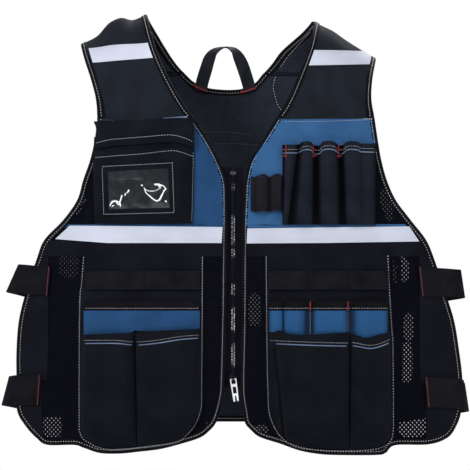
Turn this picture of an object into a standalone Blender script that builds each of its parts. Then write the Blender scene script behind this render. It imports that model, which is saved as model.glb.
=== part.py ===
"""Utility work vest: two zipped fronts, a back, shoulder yokes, pockets and side straps.

Metres, +Z up, the front faces -Y. Left and right are as seen from the front. The origin is the middle of
the back neckline, on its inner face. Each piece is one object. The pieces are drawn on a cutting pattern
of small squares, counted across from the back's middle line and down from the top of the shoulders.
"""
from collections import namedtuple
from math import asin, copysign, cos, pi, radians, sin

import bmesh
import bpy
from mathutils import Matrix, Vector

# Driving sizes of the whole vest
LENGTH = 0.640
HALF_WIDTH = 0.338
GIRTH_DEPTH = 0.200
FRONT_WRAP = 0.075
BACK_WRAP = 0.095
WRAP_POWER = 2.6
FRONT_LEAN = 0.03
RIDGE_SHARE = 0.47

# Cloth, webbing and gaps
MESH_THICK = 0.0015
CLOTH_THICK = 0.0012
TAPE_THICK = 0.0008
WEBBING_THICK = 0.0018
YOKE_THICK = 0.003
PAD_THICK = 0.004
VINYL_THICK = 0.001
SEAM_GAP = 0.0004
PLY_GAP = 0.0007
FRAME_GAP = 0.0009
BINDING_WIDTH = 0.008
BINDING_UNDER = 0.0012
BINDING_OVER = 0.0031
YOKE_BINDING_OVER = 0.0043

# Straps and handle
STRAP_WIDTH = 0.039
STRAP_REACH = 0.016
STRAP_FALL = 0.020
HANDLE_WIDTH = 0.018
HANDLE_INSIDE = 0.0032

# Zip
ZIP_PLACE = 3.1
ZIP_TOP = 161
ZIP_BOTTOM = 361
TOOTH_PITCH = 0.0046
TOOTH_REACH = 0.0013
TOOTH_BACK = 0.0042
TEETH_UNDER = 0.0013
TEETH_OVER = 0.0013
ZIP_TAPE_UNDER = 0.0028
ZIP_TAPE_THICK = 0.0012
ZIP_TAPE_WIDTH = 0.014
ZIP_TAPE_GAP = 0.0010
SLIDER_WIDTH = 0.009
SLIDER_HEIGHT = 0.011
SLIDER_PLATE = 0.0013
SLIDER_NECK = 0.0012
BAIL_DEPTH = 0.0036
BAIL_BAR = 0.0011
BAIL_HEIGHT = 0.0078
PULL_LENGTH = 0.0325
PULL_TOP_WIDTH = 0.0095
PULL_FOOT_WIDTH = 0.0078
PULL_THICK = 0.0014
PULL_LIMB = 0.0014
PULL_TILT = radians(8)

# The cutting pattern: one square is a share of the length, or of the half width
SQUARE_DOWN = LENGTH / 441
SQUARE_ACROSS = HALF_WIDTH / 233
NAPE = 74.5
FRONT_SEAM = 104
BACK_SEAM = 60

Edge = namedtuple("Edge", "down left right")
NECK_EDGE = [
    Edge(0, -83, 85), Edge(29, -75.5, 79.5), Edge(46, -69.5, 74), Edge(66, -60, 66), Edge(86, -48.5, 57),
    Edge(106, -34.5, 45), Edge(126, -21.5, 32.5), Edge(146, -11, 20), Edge(166, -3.7, 14.6),
    Edge(186, -2.4, 13.2), Edge(226, -2.5, 11.8), Edge(306, -3.5, 11.2), Edge(371, -5.2, 10),
    Edge(386, -7, 11), Edge(398, -10, 13), Edge(408.7, -14, 15),
]
SIDE_EDGE = [
    Edge(29, -150, 149), Edge(46, -145.5, 145.8), Edge(66, -139, 142.2), Edge(86, -134, 141.4),
    Edge(106, -133, 145), Edge(126, -135.5, 148), Edge(146, -140, 151.5), Edge(166, -147, 157),
    Edge(186, -153, 166), Edge(206, -167, 181), Edge(226, -186, 196.5), Edge(246, -194, 205),
    Edge(276, -204, 215), Edge(306, -211.5, 224.5), Edge(336, -214, 229.6), Edge(366, -214, 233),
    Edge(396, -213.5, 232), Edge(412, -205, 227), Edge(424, -194, 218),
]
BACK_NECK_EDGE = [
    Edge(0, -83, 87), Edge(6, -81, 83), Edge(18, -74, 72.5), Edge(36, -63, 52), Edge(49, -54, 42), Edge(60, -44, 32),
]
BACK_SIDE_EDGE = [
    Edge(29, -150, 149), Edge(44, -143, 146), Edge(60, -138, 139), Edge(106, -128, 134), Edge(146, -132, 140),
    Edge(186, -145, 150), Edge(226, -170, 167), Edge(250, -180, 172), Edge(272, -183, 173),
    Edge(376, -183, 173), Edge(395, -176, 166), Edge(405, -164, 154),
]
Spot = namedtuple("Spot", "across down")
HEM_LEFT = [
    Spot(-20, 416), Spot(-30, 423.5), Spot(-50, 430), Spot(-70, 435), Spot(-90, 437.5), Spot(-110, 439.5),
    Spot(-130, 439), Spot(-146, 434), Spot(-156, 431), Spot(-183, 431),
]
HEM_RIGHT = [
    Spot(21, 416), Spot(30, 423), Spot(50, 429.5), Spot(70, 436.5), Spot(90, 440), Spot(110, 441),
    Spot(147, 441), Spot(156, 438.7), Spot(165.5, 431.3), Spot(199, 430.6),
]
NECKLINE = [
    Spot(-50, 54), Spot(-44, 60), Spot(-36, 67), Spot(-23, 72.5), Spot(-8, NAPE), Spot(5, NAPE), Spot(14, 73), Spot(25, 68),
    Spot(32, 60), Spot(37, 54),
]
BACK_HEM = [Spot(-145, 408), Spot(-60, 409), Spot(50, 409), Spot(135, 408)]

# How far the front or back of a pocket stands off, as a share of its depth
FULLNESS = [(0.0, 0.0), (0.07, 0.7), (0.3, 1.0), (0.7, 0.85), (1.0, 0.62)]
ROUNDNESS = [(0.0, 0.0), (0.1, 0.72), (0.3, 1.0), (0.7, 1.0), (0.9, 0.72), (1.0, 0.0)]
TUBE_FULLNESS = [(0.0, 0.75), (1.0, 1.0)]
TUBE_ROUNDNESS = [(0.0, 0.0), (0.2, 0.75), (0.5, 1.0), (0.8, 0.75), (1.0, 0.0)]

Pocket = namedtuple("Pocket", "name top_left top_right foot_left foot_right foot depth colour tube")
POCKETS = [
    Pocket("chest_pocket_left", Spot(-136, 122), Spot(-38, 122), Spot(-134, 209), Spot(-38, 209), (), 0.014,
           "black_cloth", False),
    Pocket("tool_slot_1", Spot(52.4, 130.5), Spot(68.8, 130.5), Spot(52.4, 210.5), Spot(57.8, 210.5), (), 0.012,
           "black_cloth", True),
    Pocket("tool_slot_2", Spot(69.3, 128), Spot(83, 128), Spot(58.3, 210.5), Spot(83.8, 210.5), (), 0.014,
           "black_cloth", True),
    Pocket("tool_slot_3", Spot(83.5, 128), Spot(108.8, 128), Spot(84.3, 210.5), Spot(111.8, 210.5), (), 0.016,
           "black_cloth", True),
    Pocket("tool_slot_4", Spot(109.3, 129), Spot(146, 129), Spot(112.3, 210.5), Spot(146, 210.5), (), 0.014,
           "black_cloth", True),
    Pocket("pen_loop_1", Spot(20.6, 160.5), Spot(38.7, 160.5), Spot(20.6, 197), Spot(38.7, 197), (), 0.008,
           "elastic", True),
    Pocket("pen_loop_2", Spot(39.2, 160.5), Spot(51.6, 160.5), Spot(39.2, 197), Spot(51.6, 197), (), 0.008,
           "elastic", True),
    Pocket("small_pocket_left", Spot(-146.6, 288), Spot(-30.3, 288), Spot(-146.6, 319.5), Spot(-30.3, 319.5), (),
           0.009, "blue_cloth", False),
    Pocket("small_pocket_right_1", Spot(38.7, 288), Spot(79.8, 288), Spot(38.7, 321), Spot(79.8, 321), (), 0.010,
           "blue_cloth", False),
    Pocket("small_pocket_right_2", Spot(80.4, 288), Spot(117.6, 288), Spot(80.4, 321), Spot(117.6, 321), (),
           0.010, "blue_cloth", False),
    Pocket("small_pocket_right_3", Spot(118.2, 288), Spot(158.3, 288), Spot(118.2, 321), Spot(158.3, 321), (),
           0.010, "blue_cloth", False),
    Pocket("lower_pocket_left_outer", Spot(-147, 323), Spot(-95.4, 323), Spot(-148, 416), Spot(-95.4, 431),
           (Spot(-143, 426), Spot(-130, 432), Spot(-112, 432)), 0.019, "black_cloth", False),
    Pocket("lower_pocket_left_inner", Spot(-94.8, 323), Spot(-30.5, 323), Spot(-94.8, 430.5), Spot(-31, 396),
           (Spot(-77, 429), Spot(-56, 424), Spot(-42, 413)), 0.019, "black_cloth", False),
    Pocket("lower_pocket_right_inner", Spot(38.5, 324.5), Spot(119.7, 324.5), Spot(40, 397), Spot(119.7, 433),
           (Spot(46, 412), Spot(56, 424), Spot(74, 431), Spot(95, 433)), 0.020, "black_cloth", False),
    Pocket("lower_pocket_right_outer", Spot(120.3, 324.5), Spot(162, 324.5), Spot(120.3, 433), Spot(162, 418),
           (Spot(140, 432), Spot(155, 427.5)), 0.018, "black_cloth", False),
]

StrapPlace = namedtuple("StrapPlace", "name side down start")
SIDE_STRAPS = [
    StrapPlace("side_strap_upper_left", -1, 266.5, -180),
    StrapPlace("side_strap_lower_left", -1, 376.5, -189),
    StrapPlace("side_strap_upper_right", 1, 268, 190),
    StrapPlace("side_strap_lower_right", 1, 378.5, 196),
]
# The haul handle's middle line: turn 0 has the webbing flat on the back, 90 has it edge on
Twist = namedtuple("Twist", "across down turn out")
HANDLE = [
    Twist(-29.5, 79, 0, 0.0), Twist(-28, 68, 0, 0.0), Twist(-23.5, 55, 15, 0.0), Twist(-20.5, 44, 32, 0.002),
    Twist(-15, 36.5, 62, 0.005), Twist(-5, 32.5, 88, 0.008), Twist(3, 34.5, 65, 0.006), Twist(7.5, 41, 38, 0.003),
    Twist(12, 50, 15, 0.001), Twist(15.5, 59, 0, 0.0), Twist(18.5, 69, 0, 0.0), Twist(20.5, 78, 0, 0.0),
]

Finish = namedtuple("Finish", "colour roughness metallic")
FINISHES = {
    "black_mesh": Finish((0.010, 0.011, 0.018), 0.85, 0.0),
    "black_cloth": Finish((0.012, 0.013, 0.018), 0.80, 0.0),
    "blue_cloth": Finish((0.030, 0.115, 0.285), 0.75, 0.0),
    "binding": Finish((0.008, 0.009, 0.012), 0.70, 0.0),
    "webbing": Finish((0.010, 0.010, 0.013), 0.65, 0.0),
    "elastic": Finish((0.014, 0.014, 0.018), 0.80, 0.0),
    "reflective": Finish((0.62, 0.62, 0.72), 0.35, 0.1),
    "vinyl": Finish((0.030, 0.032, 0.040), 0.15, 0.0),
    "dark_metal": Finish((0.05, 0.05, 0.055), 0.45, 0.8),
    "bright_metal": Finish((0.80, 0.80, 0.82), 0.20, 1.0),
    "pad_mesh": Finish((0.010, 0.011, 0.018), 0.90, 0.0),
}

for old in list(bpy.data.objects):
    bpy.data.objects.remove(old, do_unlink=True)
VEST = bpy.data.collections.new("work_vest")
CUTTERS = bpy.data.collections.new("cutters")
bpy.context.scene.collection.children.link(VEST)
bpy.context.scene.collection.children.link(CUTTERS)


def finish(name):
    """The Principled material of this name."""
    found = bpy.data.materials.get(name)
    if found:
        return found
    look = FINISHES[name]
    material = bpy.data.materials.new(name)
    material.use_nodes = True
    shader = material.node_tree.nodes["Principled BSDF"]
    shader.inputs["Base Color"].default_value = (*look.colour, 1.0)
    shader.inputs["Roughness"].default_value = look.roughness
    shader.inputs["Metallic"].default_value = look.metallic
    material.diffuse_color = (*look.colour, 1.0)
    return material


def add_piece(name, cage, colour):
    """Turn a bmesh into one named piece of the vest."""
    bmesh.ops.recalc_face_normals(cage, faces=cage.faces[:])
    if cage.calc_volume(signed=True) < 0.0:
        bmesh.ops.reverse_faces(cage, faces=cage.faces[:])
    mesh = bpy.data.meshes.new(name)
    cage.to_mesh(mesh)
    cage.free()
    mesh.materials.append(finish(colour))
    piece = bpy.data.objects.new(name, mesh)
    VEST.objects.link(piece)
    return piece


def read_rows(rows, at):
    """Straight-line reading of a table of (place, value) rows."""
    if at <= rows[0][0]:
        return rows[0][1]
    for (low, low_value), (high, high_value) in zip(rows, rows[1:]):
        if at <= high:
            return low_value + (high_value - low_value) * (at - low) / (high - low)
    return rows[-1][1]


def edge_at(edge, side, down):
    """How far across an edge of the pattern lies at this height, in metres."""
    rows = [(row.down, row.left if side < 0 else row.right) for row in edge]
    return read_rows(rows, down) * SQUARE_ACROSS


def place(spot):
    """A spot of the pattern in metres, across and up."""
    return Vector((spot.across * SQUARE_ACROSS, (NAPE - spot.down) * SQUARE_DOWN))


def height(down):
    """The height of a row of the pattern."""
    return (NAPE - down) * SQUARE_DOWN


# The cloth is laid in flat facets that meet at these upright folds, so that every ply fits the next
FOLD_SHARES = [0.0, 0.2, 0.4, 0.58, 0.74, 0.88, 1.1]
FOLDS = sorted({side * share * HALF_WIDTH for share in FOLD_SHARES for side in (-1, 1)})


def wrapped(x, wrap):
    """How far a facet has turned towards the wearer's side at x."""
    rows = [(fold, wrap * (abs(fold) / HALF_WIDTH) ** WRAP_POWER) for fold in FOLDS]
    return read_rows(rows, x)


def front_depth(x, z):
    """The inner face of the fronts."""
    below_seam = max(height(FRONT_SEAM) - z, 0.0)
    return -GIRTH_DEPTH + wrapped(x, FRONT_WRAP) - FRONT_LEAN * below_seam


def back_depth(x):
    """The inner face of the back."""
    return -wrapped(x, BACK_WRAP)


def on_front(x, z, lift):
    return Vector((x, front_depth(x, z) - lift, z))


def on_back(x, z, lift):
    return Vector((x, back_depth(x) + lift, z))


def lay(name, outline, surface, inner, outer, colour, folds=(), trims=()):
    """Cut a flat outline along its folds, lay it on a surface and give it its thickness.

    A fold or trim is (point, normal) in the flat outline. inner and outer are lifts off the surface, as
    numbers or as functions of the two flat places.
    """
    cloth = bmesh.new()
    cloth.faces.new([cloth.verts.new((p, q, 0.0)) for p, q in outline])
    cloth.normal_update()
    for point, normal in trims:
        cut(cloth, point, normal, True)
    for point, normal in folds:
        cut(cloth, point, normal, False)
    bmesh.ops.triangulate(cloth, faces=cloth.faces[:])
    under = set(cloth.verts)
    bmesh.ops.extrude_face_region(cloth, geom=cloth.faces[:], use_keep_orig=True)
    for vert in cloth.verts:
        lift = inner if vert in under else outer
        p, q = vert.co.x, vert.co.y
        vert.co = surface(p, q, lift(p, q) if callable(lift) else lift)
    return add_piece(name, cloth, colour)


def cut(cloth, point, normal, clear):
    """Bisect the flat cloth, and drop what lies beyond a trim."""
    bmesh.ops.bisect_plane(
        cloth, geom=cloth.verts[:] + cloth.edges[:] + cloth.faces[:], dist=1e-5,
        plane_co=(point[0], point[1], 0.0), plane_no=(normal[0], normal[1], 0.0), clear_outer=clear)


UPRIGHT_FOLDS = [((fold, 0.0), (1.0, 0.0)) for fold in FOLDS]


def beyond(across=None, down=None, side=1):
    """A trim that drops what lies past a column, or past a row, of the pattern."""
    if across is not None:
        return ((across * SQUARE_ACROSS, 0.0), (side, 0.0))
    return ((0.0, height(down)), (0.0, -side))


def inset(path, width):
    """A path moved inwards by a width; inwards is to the path's left."""
    moved = []
    for index, here in enumerate(path):
        before = path[max(index - 1, 0)]
        after = path[min(index + 1, len(path) - 1)]
        first = (here - before).normalized() if index else (after - here).normalized()
        second = (after - here).normalized() if index < len(path) - 1 else first
        first_left = Vector((-first.y, first.x))
        second_left = Vector((-second.y, second.x))
        middle = (first_left + second_left).normalized()
        moved.append(here + middle * width / max(middle.dot(first_left), 0.5))
    return moved


def front_edge(side):
    """The edge of one front, from the neck down, along the hem and up to the armhole."""
    neck = [Spot(row.left if side < 0 else row.right, row.down) for row in NECK_EDGE if row.down > 80]
    hem = HEM_LEFT if side < 0 else HEM_RIGHT
    arm = [Spot(row.left if side < 0 else row.right, row.down) for row in SIDE_EDGE if row.down > 80]
    path = [place(spot) for spot in neck + hem + arm[::-1]]
    return path if side > 0 else path[::-1]


def back_edge():
    """The edge of the back, from the left armhole down, along the hem and up to the right armhole."""
    left = [Spot(row.left, row.down) for row in BACK_SIDE_EDGE if row.down > 40]
    right = [Spot(row.right, row.down) for row in BACK_SIDE_EDGE if row.down > 40]
    return [place(spot) for spot in left + BACK_HEM + right[::-1]]


def side_name(side):
    return "left" if side < 0 else "right"


def build_front(side):
    """The mesh front, its edge binding and the plain pieces sewn on it."""
    end = side_name(side)
    edge = front_edge(side)
    inner_edge = inset(edge, BINDING_WIDTH)
    body = inset(edge, BINDING_WIDTH + SEAM_GAP)
    above_seam = ((0.0, height(FRONT_SEAM) - SEAM_GAP), (0.0, 1.0))
    lay(f"front_panel_{end}", body, on_front, 0.0, MESH_THICK, "black_mesh", UPRIGHT_FOLDS, [above_seam])
    lay(f"front_binding_{end}", edge + inner_edge[::-1], on_front, -BINDING_UNDER, BINDING_OVER, "binding",
        UPRIGHT_FOLDS, [above_seam])
    first = MESH_THICK + SEAM_GAP
    second = first + CLOTH_THICK

    def ply(name, trims, colour):
        lay(f"{name}_{end}", body, on_front, first, second, colour, UPRIGHT_FOLDS, trims)

    ply("chest_panel", [above_seam, beyond(down=211.5)], "blue_cloth")
    ply("waist_panel", [beyond(down=230, side=-1), beyond(across=side * (26 if side < 0 else 33), side=-side),
                        beyond(across=side * (150 if side < 0 else 164), side=side)], "black_cloth")
    ply("side_panel", [beyond(down=230, side=-1),
                       beyond(across=side * (182 if side < 0 else 190.5), side=-side)], "black_cloth")
    lay(f"chest_tape_{end}", body, on_front, first, first + CLOTH_THICK + TAPE_THICK, "reflective",
        UPRIGHT_FOLDS, [beyond(down=211.9, side=-1), beyond(down=229.6)])
    top = second + PLY_GAP
    left, right = (-145, -31) if side < 0 else (38.5, 158.5)
    band = [place(Spot(*spot)) for spot in ((left, 257), (left, 275.5), (right, 275.5), (right, 257))]
    lay(f"webbing_band_{end}", band, on_front, top, top + CLOTH_THICK, "webbing", UPRIGHT_FOLDS)


def build_back():
    """The mesh back, its binding and the binding of its neckline."""
    edge = back_edge()
    seam = ((0.0, height(BACK_SEAM) - SEAM_GAP), (0.0, 1.0))
    inner_edge = inset(edge, BINDING_WIDTH)
    lay("back_binding", edge + inner_edge[::-1], on_back, -BINDING_UNDER, BINDING_OVER, "binding",
        UPRIGHT_FOLDS, [seam])
    body_edge = inset(edge, BINDING_WIDTH + SEAM_GAP)
    neck = [place(spot) for spot in NECKLINE]
    under_neck = inset(neck[::-1], BINDING_WIDTH)[::-1]
    clear_neck = inset(neck[::-1], BINDING_WIDTH + SEAM_GAP)
    lay("back_panel", body_edge + clear_neck, on_back, 0.0, MESH_THICK, "black_mesh", UPRIGHT_FOLDS, [seam])
    lay("back_neck_binding", neck + under_neck[::-1], on_back, -BINDING_UNDER, BINDING_OVER, "binding",
        UPRIGHT_FOLDS, [seam])


# The yokes go over the shoulders: share 0 is the neck edge, 1 the armhole edge; turn -1 is the front seam,
# 0 the top of the shoulder and 1 the back seam
YOKE_TURNS = [step / 5 for step in range(-5, 6)]
YOKE_SHARES = [0.0, 0.3, 0.5, 0.7, 1.0]
RIDGE_DOWN = {-1: (0, 29), 1: (7, 44)}


def yoke_row(side, turn):
    """The neck end and the armhole end of one row across a yoke."""
    ends = []
    seam = FRONT_SEAM if turn < 0 else BACK_SEAM
    climb = sin((1 - abs(turn)) * pi / 2)
    reach = cos((1 - abs(turn)) * pi / 2)
    tables = (NECK_EDGE, SIDE_EDGE) if turn < 0 else (BACK_NECK_EDGE, BACK_SIDE_EDGE)
    for ridge, table in zip(RIDGE_DOWN[side], tables):
        down = seam + (ridge - seam) * climb
        x = edge_at(table, side, down)
        z = height(down)
        low = front_depth(x, z) if turn < 0 else back_depth(x)
        ridge_depth = -GIRTH_DEPTH * RIDGE_SHARE
        ends.append(Vector((x, ridge_depth + (low - ridge_depth) * reach, z)))
    return ends


def yoke_surface(side):
    """A function that places (share, turn, lift) on one yoke."""
    rows = [yoke_row(side, turn) for turn in YOKE_TURNS]

    def flat(share, turn):
        spot = min(max((turn + 1) * 5, 0.0), 9.9999)
        row = int(spot)
        part = spot - row
        neck = rows[row][0].lerp(rows[row + 1][0], part)
        arm = rows[row][1].lerp(rows[row + 1][1], part)
        return neck.lerp(arm, share)

    def on_yoke(share, turn, lift):
        step = 0.2
        along = flat(share, min(turn + step, 1.0)) - flat(share, max(turn - step, -1.0))
        if abs(turn) > 0.999:
            along = Vector((0.0, 0.0, -turn))
        across = flat(1.0, turn) - flat(0.0, turn)
        normal = along.cross(across).normalized()
        if side > 0:
            normal = -normal
        return flat(share, turn) + normal * lift

    return on_yoke


YOKE_FOLDS = [((share, 0.0), (1.0, 0.0)) for share in YOKE_SHARES[1:-1]]
YOKE_FOLDS += [((0.0, turn), (0.0, 1.0)) for turn in YOKE_TURNS[1:-1]]
BINDING_SHARE = 0.085
SEAM_SHARE = 0.005
TapeEnd = namedtuple("TapeEnd", "share high low")
SHOULDER_TAPES = {-1: (TapeEnd(0.0, 28, 43.7), TapeEnd(1.0, 34, 49)), 1: (TapeEnd(0.0, 35, 51.2), TapeEnd(1.0, 38, 50.8))}


def patch(low_share, high_share, low_turn, high_turn):
    """A flat rectangle of yoke, in shares and turns."""
    return [(low_share, low_turn), (high_share, low_turn), (high_share, high_turn), (low_share, high_turn)]


def front_turn(side, share, down):
    """The turn at which the front of a yoke passes this height."""
    neck, arm = RIDGE_DOWN[side]
    climb = (FRONT_SEAM - down) / (FRONT_SEAM - (neck + (arm - neck) * share))
    return asin(min(climb, 1.0)) * 2 / pi - 1


def build_yoke(side):
    """One shoulder: padded yoke, its two bindings, the pad inside it and the reflective tape over it."""
    end = side_name(side)
    surface = yoke_surface(side)
    edge = BINDING_SHARE
    clear = BINDING_SHARE + SEAM_SHARE
    lay(f"yoke_{end}", patch(clear, 1 - clear, -1, 1), surface, 0.0, YOKE_THICK, "black_cloth", YOKE_FOLDS)
    lay(f"yoke_neck_binding_{end}", patch(0, edge, -1, 1), surface, -BINDING_UNDER, YOKE_BINDING_OVER,
        "binding", YOKE_FOLDS)
    lay(f"yoke_arm_binding_{end}", patch(1 - edge, 1, -1, 1), surface, -BINDING_UNDER, YOKE_BINDING_OVER,
        "binding", YOKE_FOLDS)
    lay(f"shoulder_pad_{end}", patch(0.11, 0.89, -0.8, 0.8), surface, -FRAME_GAP - PAD_THICK, -FRAME_GAP,
        "pad_mesh", YOKE_FOLDS)
    neck, arm = SHOULDER_TAPES[side]
    shares = [clear, 0.3, 0.5, 0.7, 1 - clear]
    low = [(share, front_turn(side, share, neck.low + (arm.low - neck.low) * share)) for share in shares]
    high = [(share, front_turn(side, share, neck.high + (arm.high - neck.high) * share)) for share in shares]
    tape = low + high[::-1]
    lift = YOKE_THICK + FRAME_GAP
    lay(f"shoulder_tape_{end}", tape, surface, lift, lift + TAPE_THICK, "reflective", YOKE_FOLDS)


POCKET_BASE = MESH_THICK + SEAM_GAP + CLOTH_THICK + PLY_GAP


def pocket_standoff(row):
    """A function that gives how far a pocket's wall stands off at (x, z)."""
    top_left, top_right = place(row.top_left), place(row.top_right)
    foot_left, foot_right = place(row.foot_left), place(row.foot_right)
    foot = sorted((foot_left, foot_right, *(place(spot) for spot in row.foot)), key=lambda spot: spot.x)
    roundness = TUBE_ROUNDNESS if row.tube else ROUNDNESS
    fullness = TUBE_FULLNESS if row.tube else FULLNESS

    def edge_x(top, bottom, z):
        return bottom.x + (top.x - bottom.x) * (z - bottom.y) / (top.y - bottom.y)

    def standoff(x, z):
        left = edge_x(top_left, foot_left, z)
        right = edge_x(top_right, foot_right, z)
        low = read_rows([tuple(spot) for spot in foot], x)
        across = (x - left) / (right - left)
        up = (z - low) / (top_left.y - low)
        return row.depth * read_rows(roundness, across) * read_rows(fullness, up)

    return standoff


def pocket_folds(row):
    """The folds of a pocket's wall: upright ones that lean with its sides, and level ones."""
    top_left, top_right = place(row.top_left), place(row.top_right)
    foot_left, foot_right = place(row.foot_left), place(row.foot_right)
    folds = list(UPRIGHT_FOLDS)
    for share, _ in (TUBE_ROUNDNESS if row.tube else ROUNDNESS)[1:-1]:
        low = Vector((foot_left.x + (foot_right.x - foot_left.x) * share, foot_left.y))
        high = Vector((top_left.x + (top_right.x - top_left.x) * share, top_left.y))
        along = high - low
        folds.append((low, (along.y, -along.x)))
    floor = min(spot.y for spot in (foot_left, foot_right, *(place(spot) for spot in row.foot)))
    for share, _ in (() if row.tube else FULLNESS[1:-1]):
        folds.append(((0.0, floor + (top_left.y - floor) * share), (0.0, 1.0)))
    return folds


def build_pocket(row, thick=CLOTH_THICK):
    """A pocket: one wall that stands off its panel, sewn down at its sides and foot and open at its top."""
    foot = sorted(row.foot, key=lambda spot: spot.across)
    outline = [place(spot) for spot in (row.top_left, row.foot_left, *foot, row.foot_right, row.top_right)]
    standoff = pocket_standoff(row)
    lay(row.name, outline, on_front, lambda x, z: POCKET_BASE + standoff(x, z),
        lambda x, z: POCKET_BASE + thick + standoff(x, z), row.colour, pocket_folds(row))


def build_chest_cover():
    """The flap over the chest pocket, and the window for a pass on the pocket's wall."""
    row = POCKETS[0]
    standoff = pocket_standoff(row)
    flap = [Spot(-136, FRONT_SEAM + 2), Spot(-136, 133.5), Spot(-80, 128.5), Spot(-60, 128), Spot(-38, 133.5),
            Spot(-38, FRONT_SEAM + 6), Spot(-44, FRONT_SEAM + 2)]
    hinge = height(FRONT_SEAM + 2)
    full = height(row.top_left.down)

    def flap_lift(x, z):
        opened = min(max((hinge - z) / (hinge - full), 0.0), 1.0)
        return POCKET_BASE + opened * (standoff(x, min(z, full)) + CLOTH_THICK + PLY_GAP)

    folds = pocket_folds(row) + [((0.0, full), (0.0, 1.0))]
    lay("chest_flap_left", [place(spot) for spot in flap], on_front, flap_lift,
        lambda x, z: flap_lift(x, z) + CLOTH_THICK, "black_cloth", folds)
    lift = POCKET_BASE + CLOTH_THICK + FRAME_GAP
    frame = [Spot(-128.3, 152.4), Spot(-126.5, 200.5), Spot(-55.7, 198.7), Spot(-57.6, 148.7)]
    hole = [Spot(-122.3, 158.2), Spot(-120.7, 194.8), Spot(-61.4, 193.2), Spot(-63.2, 154.8)]
    on_wall = {"inner": lambda x, z: lift + standoff(x, z), "outer": lambda x, z: lift + VINYL_THICK + standoff(x, z)}
    ring = [place(spot) for spot in frame]
    window = [place(spot) for spot in hole]
    cover = lay("id_frame", ring, on_front, on_wall["inner"], on_wall["outer"], "black_cloth", pocket_folds(row))
    middle = sum(window, Vector((0.0, 0.0))) / len(window)
    rim = [Vector((corner.x + copysign(SEAM_GAP, corner.x - middle.x),
                   corner.y + copysign(SEAM_GAP, corner.y - middle.y))) for corner in window]
    cutter = lay("id_window_cutter", rim, on_front, lambda x, z: 0.0, lambda x, z: 0.06,
                 "vinyl", UPRIGHT_FOLDS)
    cut_from(cover, cutter)
    lay("id_window", window, on_front, on_wall["inner"], on_wall["outer"], "vinyl", pocket_folds(row))


def cut_from(piece, cutter, operation="DIFFERENCE"):
    """Cut one solid from another, or join it, with a Boolean."""
    VEST.objects.unlink(cutter)
    CUTTERS.objects.link(cutter)
    cutter.hide_render = True
    cutter.display_type = "WIRE"
    boolean = piece.modifiers.new(cutter.name, "BOOLEAN")
    boolean.operation = operation
    boolean.object = cutter
    boolean.solver = "EXACT"


def ribbon(name, sections, colour):
    """A band of webbing through sections of four corners each."""
    cage = bmesh.new()
    rings = [[cage.verts.new(corner) for corner in section] for section in sections]
    for ring, after in zip(rings, rings[1:]):
        for corner in range(4):
            beside = (corner + 1) % 4
            cage.faces.new((ring[corner], ring[beside], after[beside], after[corner]))
    cage.faces.new(rings[0])
    cage.faces.new(rings[-1][::-1])
    bmesh.ops.triangulate(cage, faces=cage.faces[:])
    return add_piece(name, cage, colour)


def build_handle():
    """The haul handle: webbing sewn inside the back neckline, turned edge on at its crown."""
    middle = []
    for row in HANDLE:
        spot = place(row)
        middle.append(Vector((spot.x, back_depth(spot.x) - HANDLE_INSIDE + row.out, spot.y)))
    sections = []
    for index, row in enumerate(HANDLE):
        here = middle[index]
        along = (middle[min(index + 1, len(middle) - 1)] - middle[max(index - 1, 0)]).normalized()
        beside = along.cross(Vector((0.0, 1.0, 0.0))).normalized()
        turn = radians(row.turn)
        broad = beside * cos(turn) + Vector((0.0, 1.0, 0.0)) * sin(turn)
        thin = along.cross(broad).normalized()
        half, deep = broad * HANDLE_WIDTH / 2, thin * WEBBING_THICK / 2
        sections.append([here - half - deep, here + half - deep, here + half + deep, here - half + deep])
    ribbon("haul_handle", sections, "webbing")


def build_strap(strap):
    """A side strap: sewn on the front, round past its edge and sewn on the back."""
    lift = MESH_THICK + SEAM_GAP + CLOTH_THICK + PLY_GAP + SEAM_GAP + WEBBING_THICK / 2
    z = height(strap.down)
    reach = STRAP_WIDTH / 2 / SQUARE_DOWN
    edge = max((edge_at(SIDE_EDGE, strap.side, strap.down + step) for step in (-reach, 0.0, reach)), key=abs)
    start = strap.start * SQUARE_ACROSS
    out = strap.side * STRAP_REACH
    back = edge_at(BACK_SIDE_EDGE, strap.side, strap.down)
    inside = back - strap.side * 0.030
    edge_y = front_depth(edge, z) - lift
    back_y = back_depth(back) + lift
    deep = back_y - edge_y
    route = [(start, front_depth(start, z) - lift, 0.0)]
    for share in FOLD_SHARES:
        fold = strap.side * share * HALF_WIDTH
        if abs(start) + 0.002 < abs(fold) < abs(edge) - 0.002:
            route.append((fold, front_depth(fold, z) - lift, 0.0))
    route += [
        (edge, edge_y, 0.0), (edge + 0.62 * out, edge_y + 0.06 * deep, 0.06), (edge + out, edge_y + 0.22 * deep, 0.2),
        (edge + 0.86 * out, edge_y + 0.42 * deep, 0.45), (edge + 0.2 * out, edge_y + 0.68 * deep, 0.75),
        (back + 0.008 * strap.side, back_y + 0.0015, 1.0), (back - 0.012 * strap.side, back_depth(back - 0.012 * strap.side) + lift, 1.0),
        (inside, back_depth(inside) + lift, 1.0),
    ]
    sections = []
    for index, (x, y, fall) in enumerate(route):
        before, after = route[max(index - 1, 0)], route[min(index + 1, len(route) - 1)]
        along = Vector((after[0] - before[0], after[1] - before[1], 0.0)).normalized()
        thin = Vector((-along.y, along.x, 0.0)) * WEBBING_THICK / 2
        here = Vector((x, y, z - fall * STRAP_FALL))
        half = Vector((0.0, 0.0, STRAP_WIDTH / 2))
        sections.append([here - half - thin, here + half - thin, here + half + thin, here - half + thin])
    ribbon(strap.name, sections, "webbing")


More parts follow.
